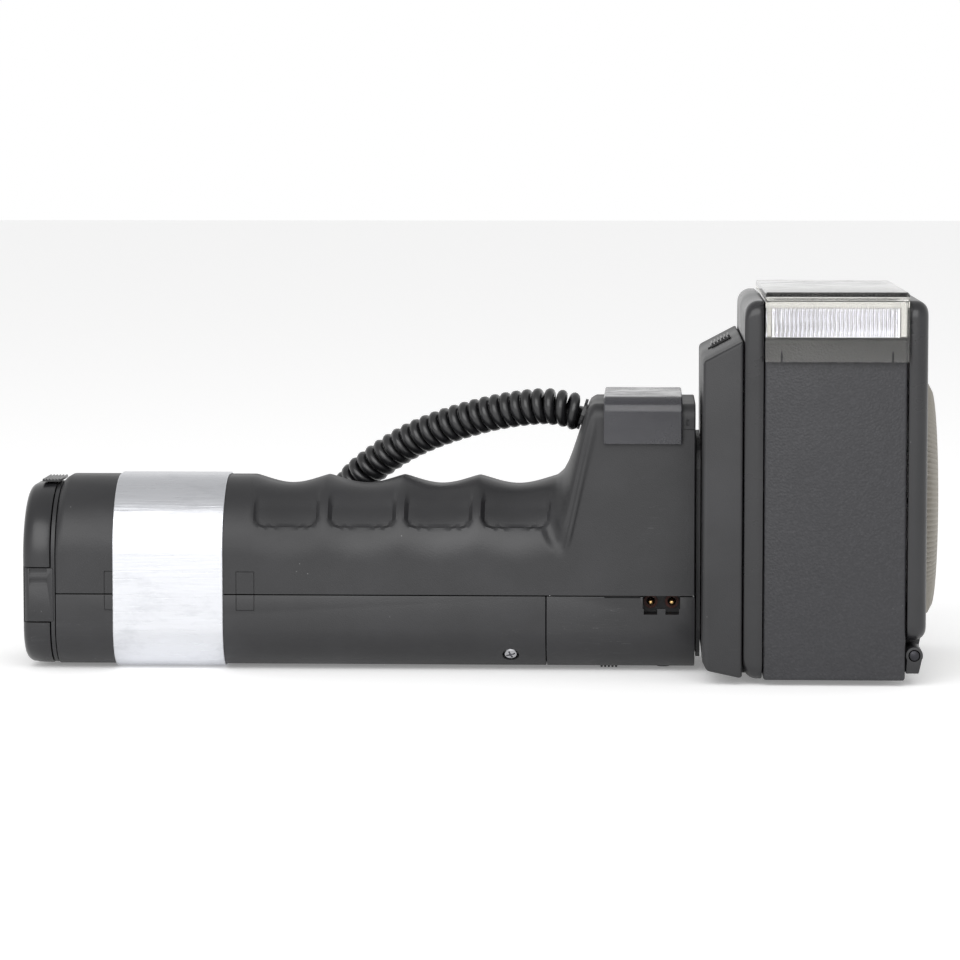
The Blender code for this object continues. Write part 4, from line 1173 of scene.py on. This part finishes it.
make_camera()
rubber_black = rubber("cord_black", (0.008, 0.008, 0.009), 0.32)
bright_steel = metal("bright_steel", (0.62, 0.62, 0.63), 0.3)
make_cord(rubber_black, bright_steel)
make_studio()
satin = black_plastic("satin_black")
gloss = black_plastic("gloss_black", roughness=0.28, grain=0.000008, wear=0.3)
ivory = clear_plastic("ivory_plastic", (0.30, 0.28, 0.245), 0.4, transmission=0.1)
clear = clear_plastic("clear_plastic", (0.97, 0.97, 0.97), 0.06, haze=0.05)
mirror = metal("reflector_silver", (0.88, 0.88, 0.9), 0.14)
screw_steel = metal("screw_steel", (0.5, 0.5, 0.52), 0.32)
brass = metal("brass", (0.72, 0.47, 0.2), 0.28)
amber = clear_plastic("lamp_amber", (0.75, 0.2, 0.03), 0.15, transmission=0.4)
make_front_shell(satin)
make_back_covers(satin)
make_band(brushed_aluminium())
for node, sign in SCREW_SIDES:
    make_screw(node, sign, screw_steel)
make_socket(satin, brass)
make_back_controls(gloss, amber)
make_subflash(clear)
make_cap(gloss, satin)
make_neck(satin, gloss)
make_head(pebble_plastic(), gloss)
make_lens(clear_plastic("lens_plastic", (0.98, 0.98, 1.0), 0.06, haze=0.05))
make_cover(gloss, ivory, bright_steel)
make_adapters(clear_plastic("adapter_clear", (0.96, 0.95, 0.91), 0.05, haze=0.10),
              clear_plastic("smoke_plastic", (0.07, 0.07, 0.08), 0.14, transmission=0.5, haze=0.2))
make_hinge(satin, metal("pin_gunmetal", (0.045, 0.045, 0.05), 0.4))
make_cells(coated("cell_wrap", (0.03, 0.05, 0.03), 0.35, (0.1, 0.08, 0.02)), bright_steel)
dress(satin, "swivel_bulkhead", "swivel_washer", "battery_tray")
dress(rubber_black, "cord_gland")
dress(mirror, "reflector")
dress(bright_steel, "swivel_clip", "tilt_pin", "contact_stud_near", "contact_stud_far",
      "tube_cap_near", "tube_cap_far")
dress(clear_plastic("flash_glass", (0.95, 0.96, 0.97), 0.03), "flash_tube", "subflash_tube")
dress(coated("photocell_black", (0.02, 0.02, 0.025), 0.3), "photocell")
dress(coated("capacitor_sleeve", (0.02, 0.04, 0.16), 0.3, (0.05, 0.08, 0.2)), "main_capacitor")
dress(coated("board_brown", (0.22, 0.12, 0.035), 0.5, (0.1, 0.05, 0.02)), "circuit_board")
dress(coated("contact_board", (0.09, 0.08, 0.06), 0.6, (0.03, 0.03, 0.02)), "battery_contact_plate")
dress(coated("transformer_tape", (0.5, 0.38, 0.06), 0.45, (0.3, 0.2, 0.03)), "transformer")
dress(coated("coil_lacquer", (0.3, 0.07, 0.02), 0.35, (0.12, 0.03, 0.01), 2500.0), "trigger_coil")
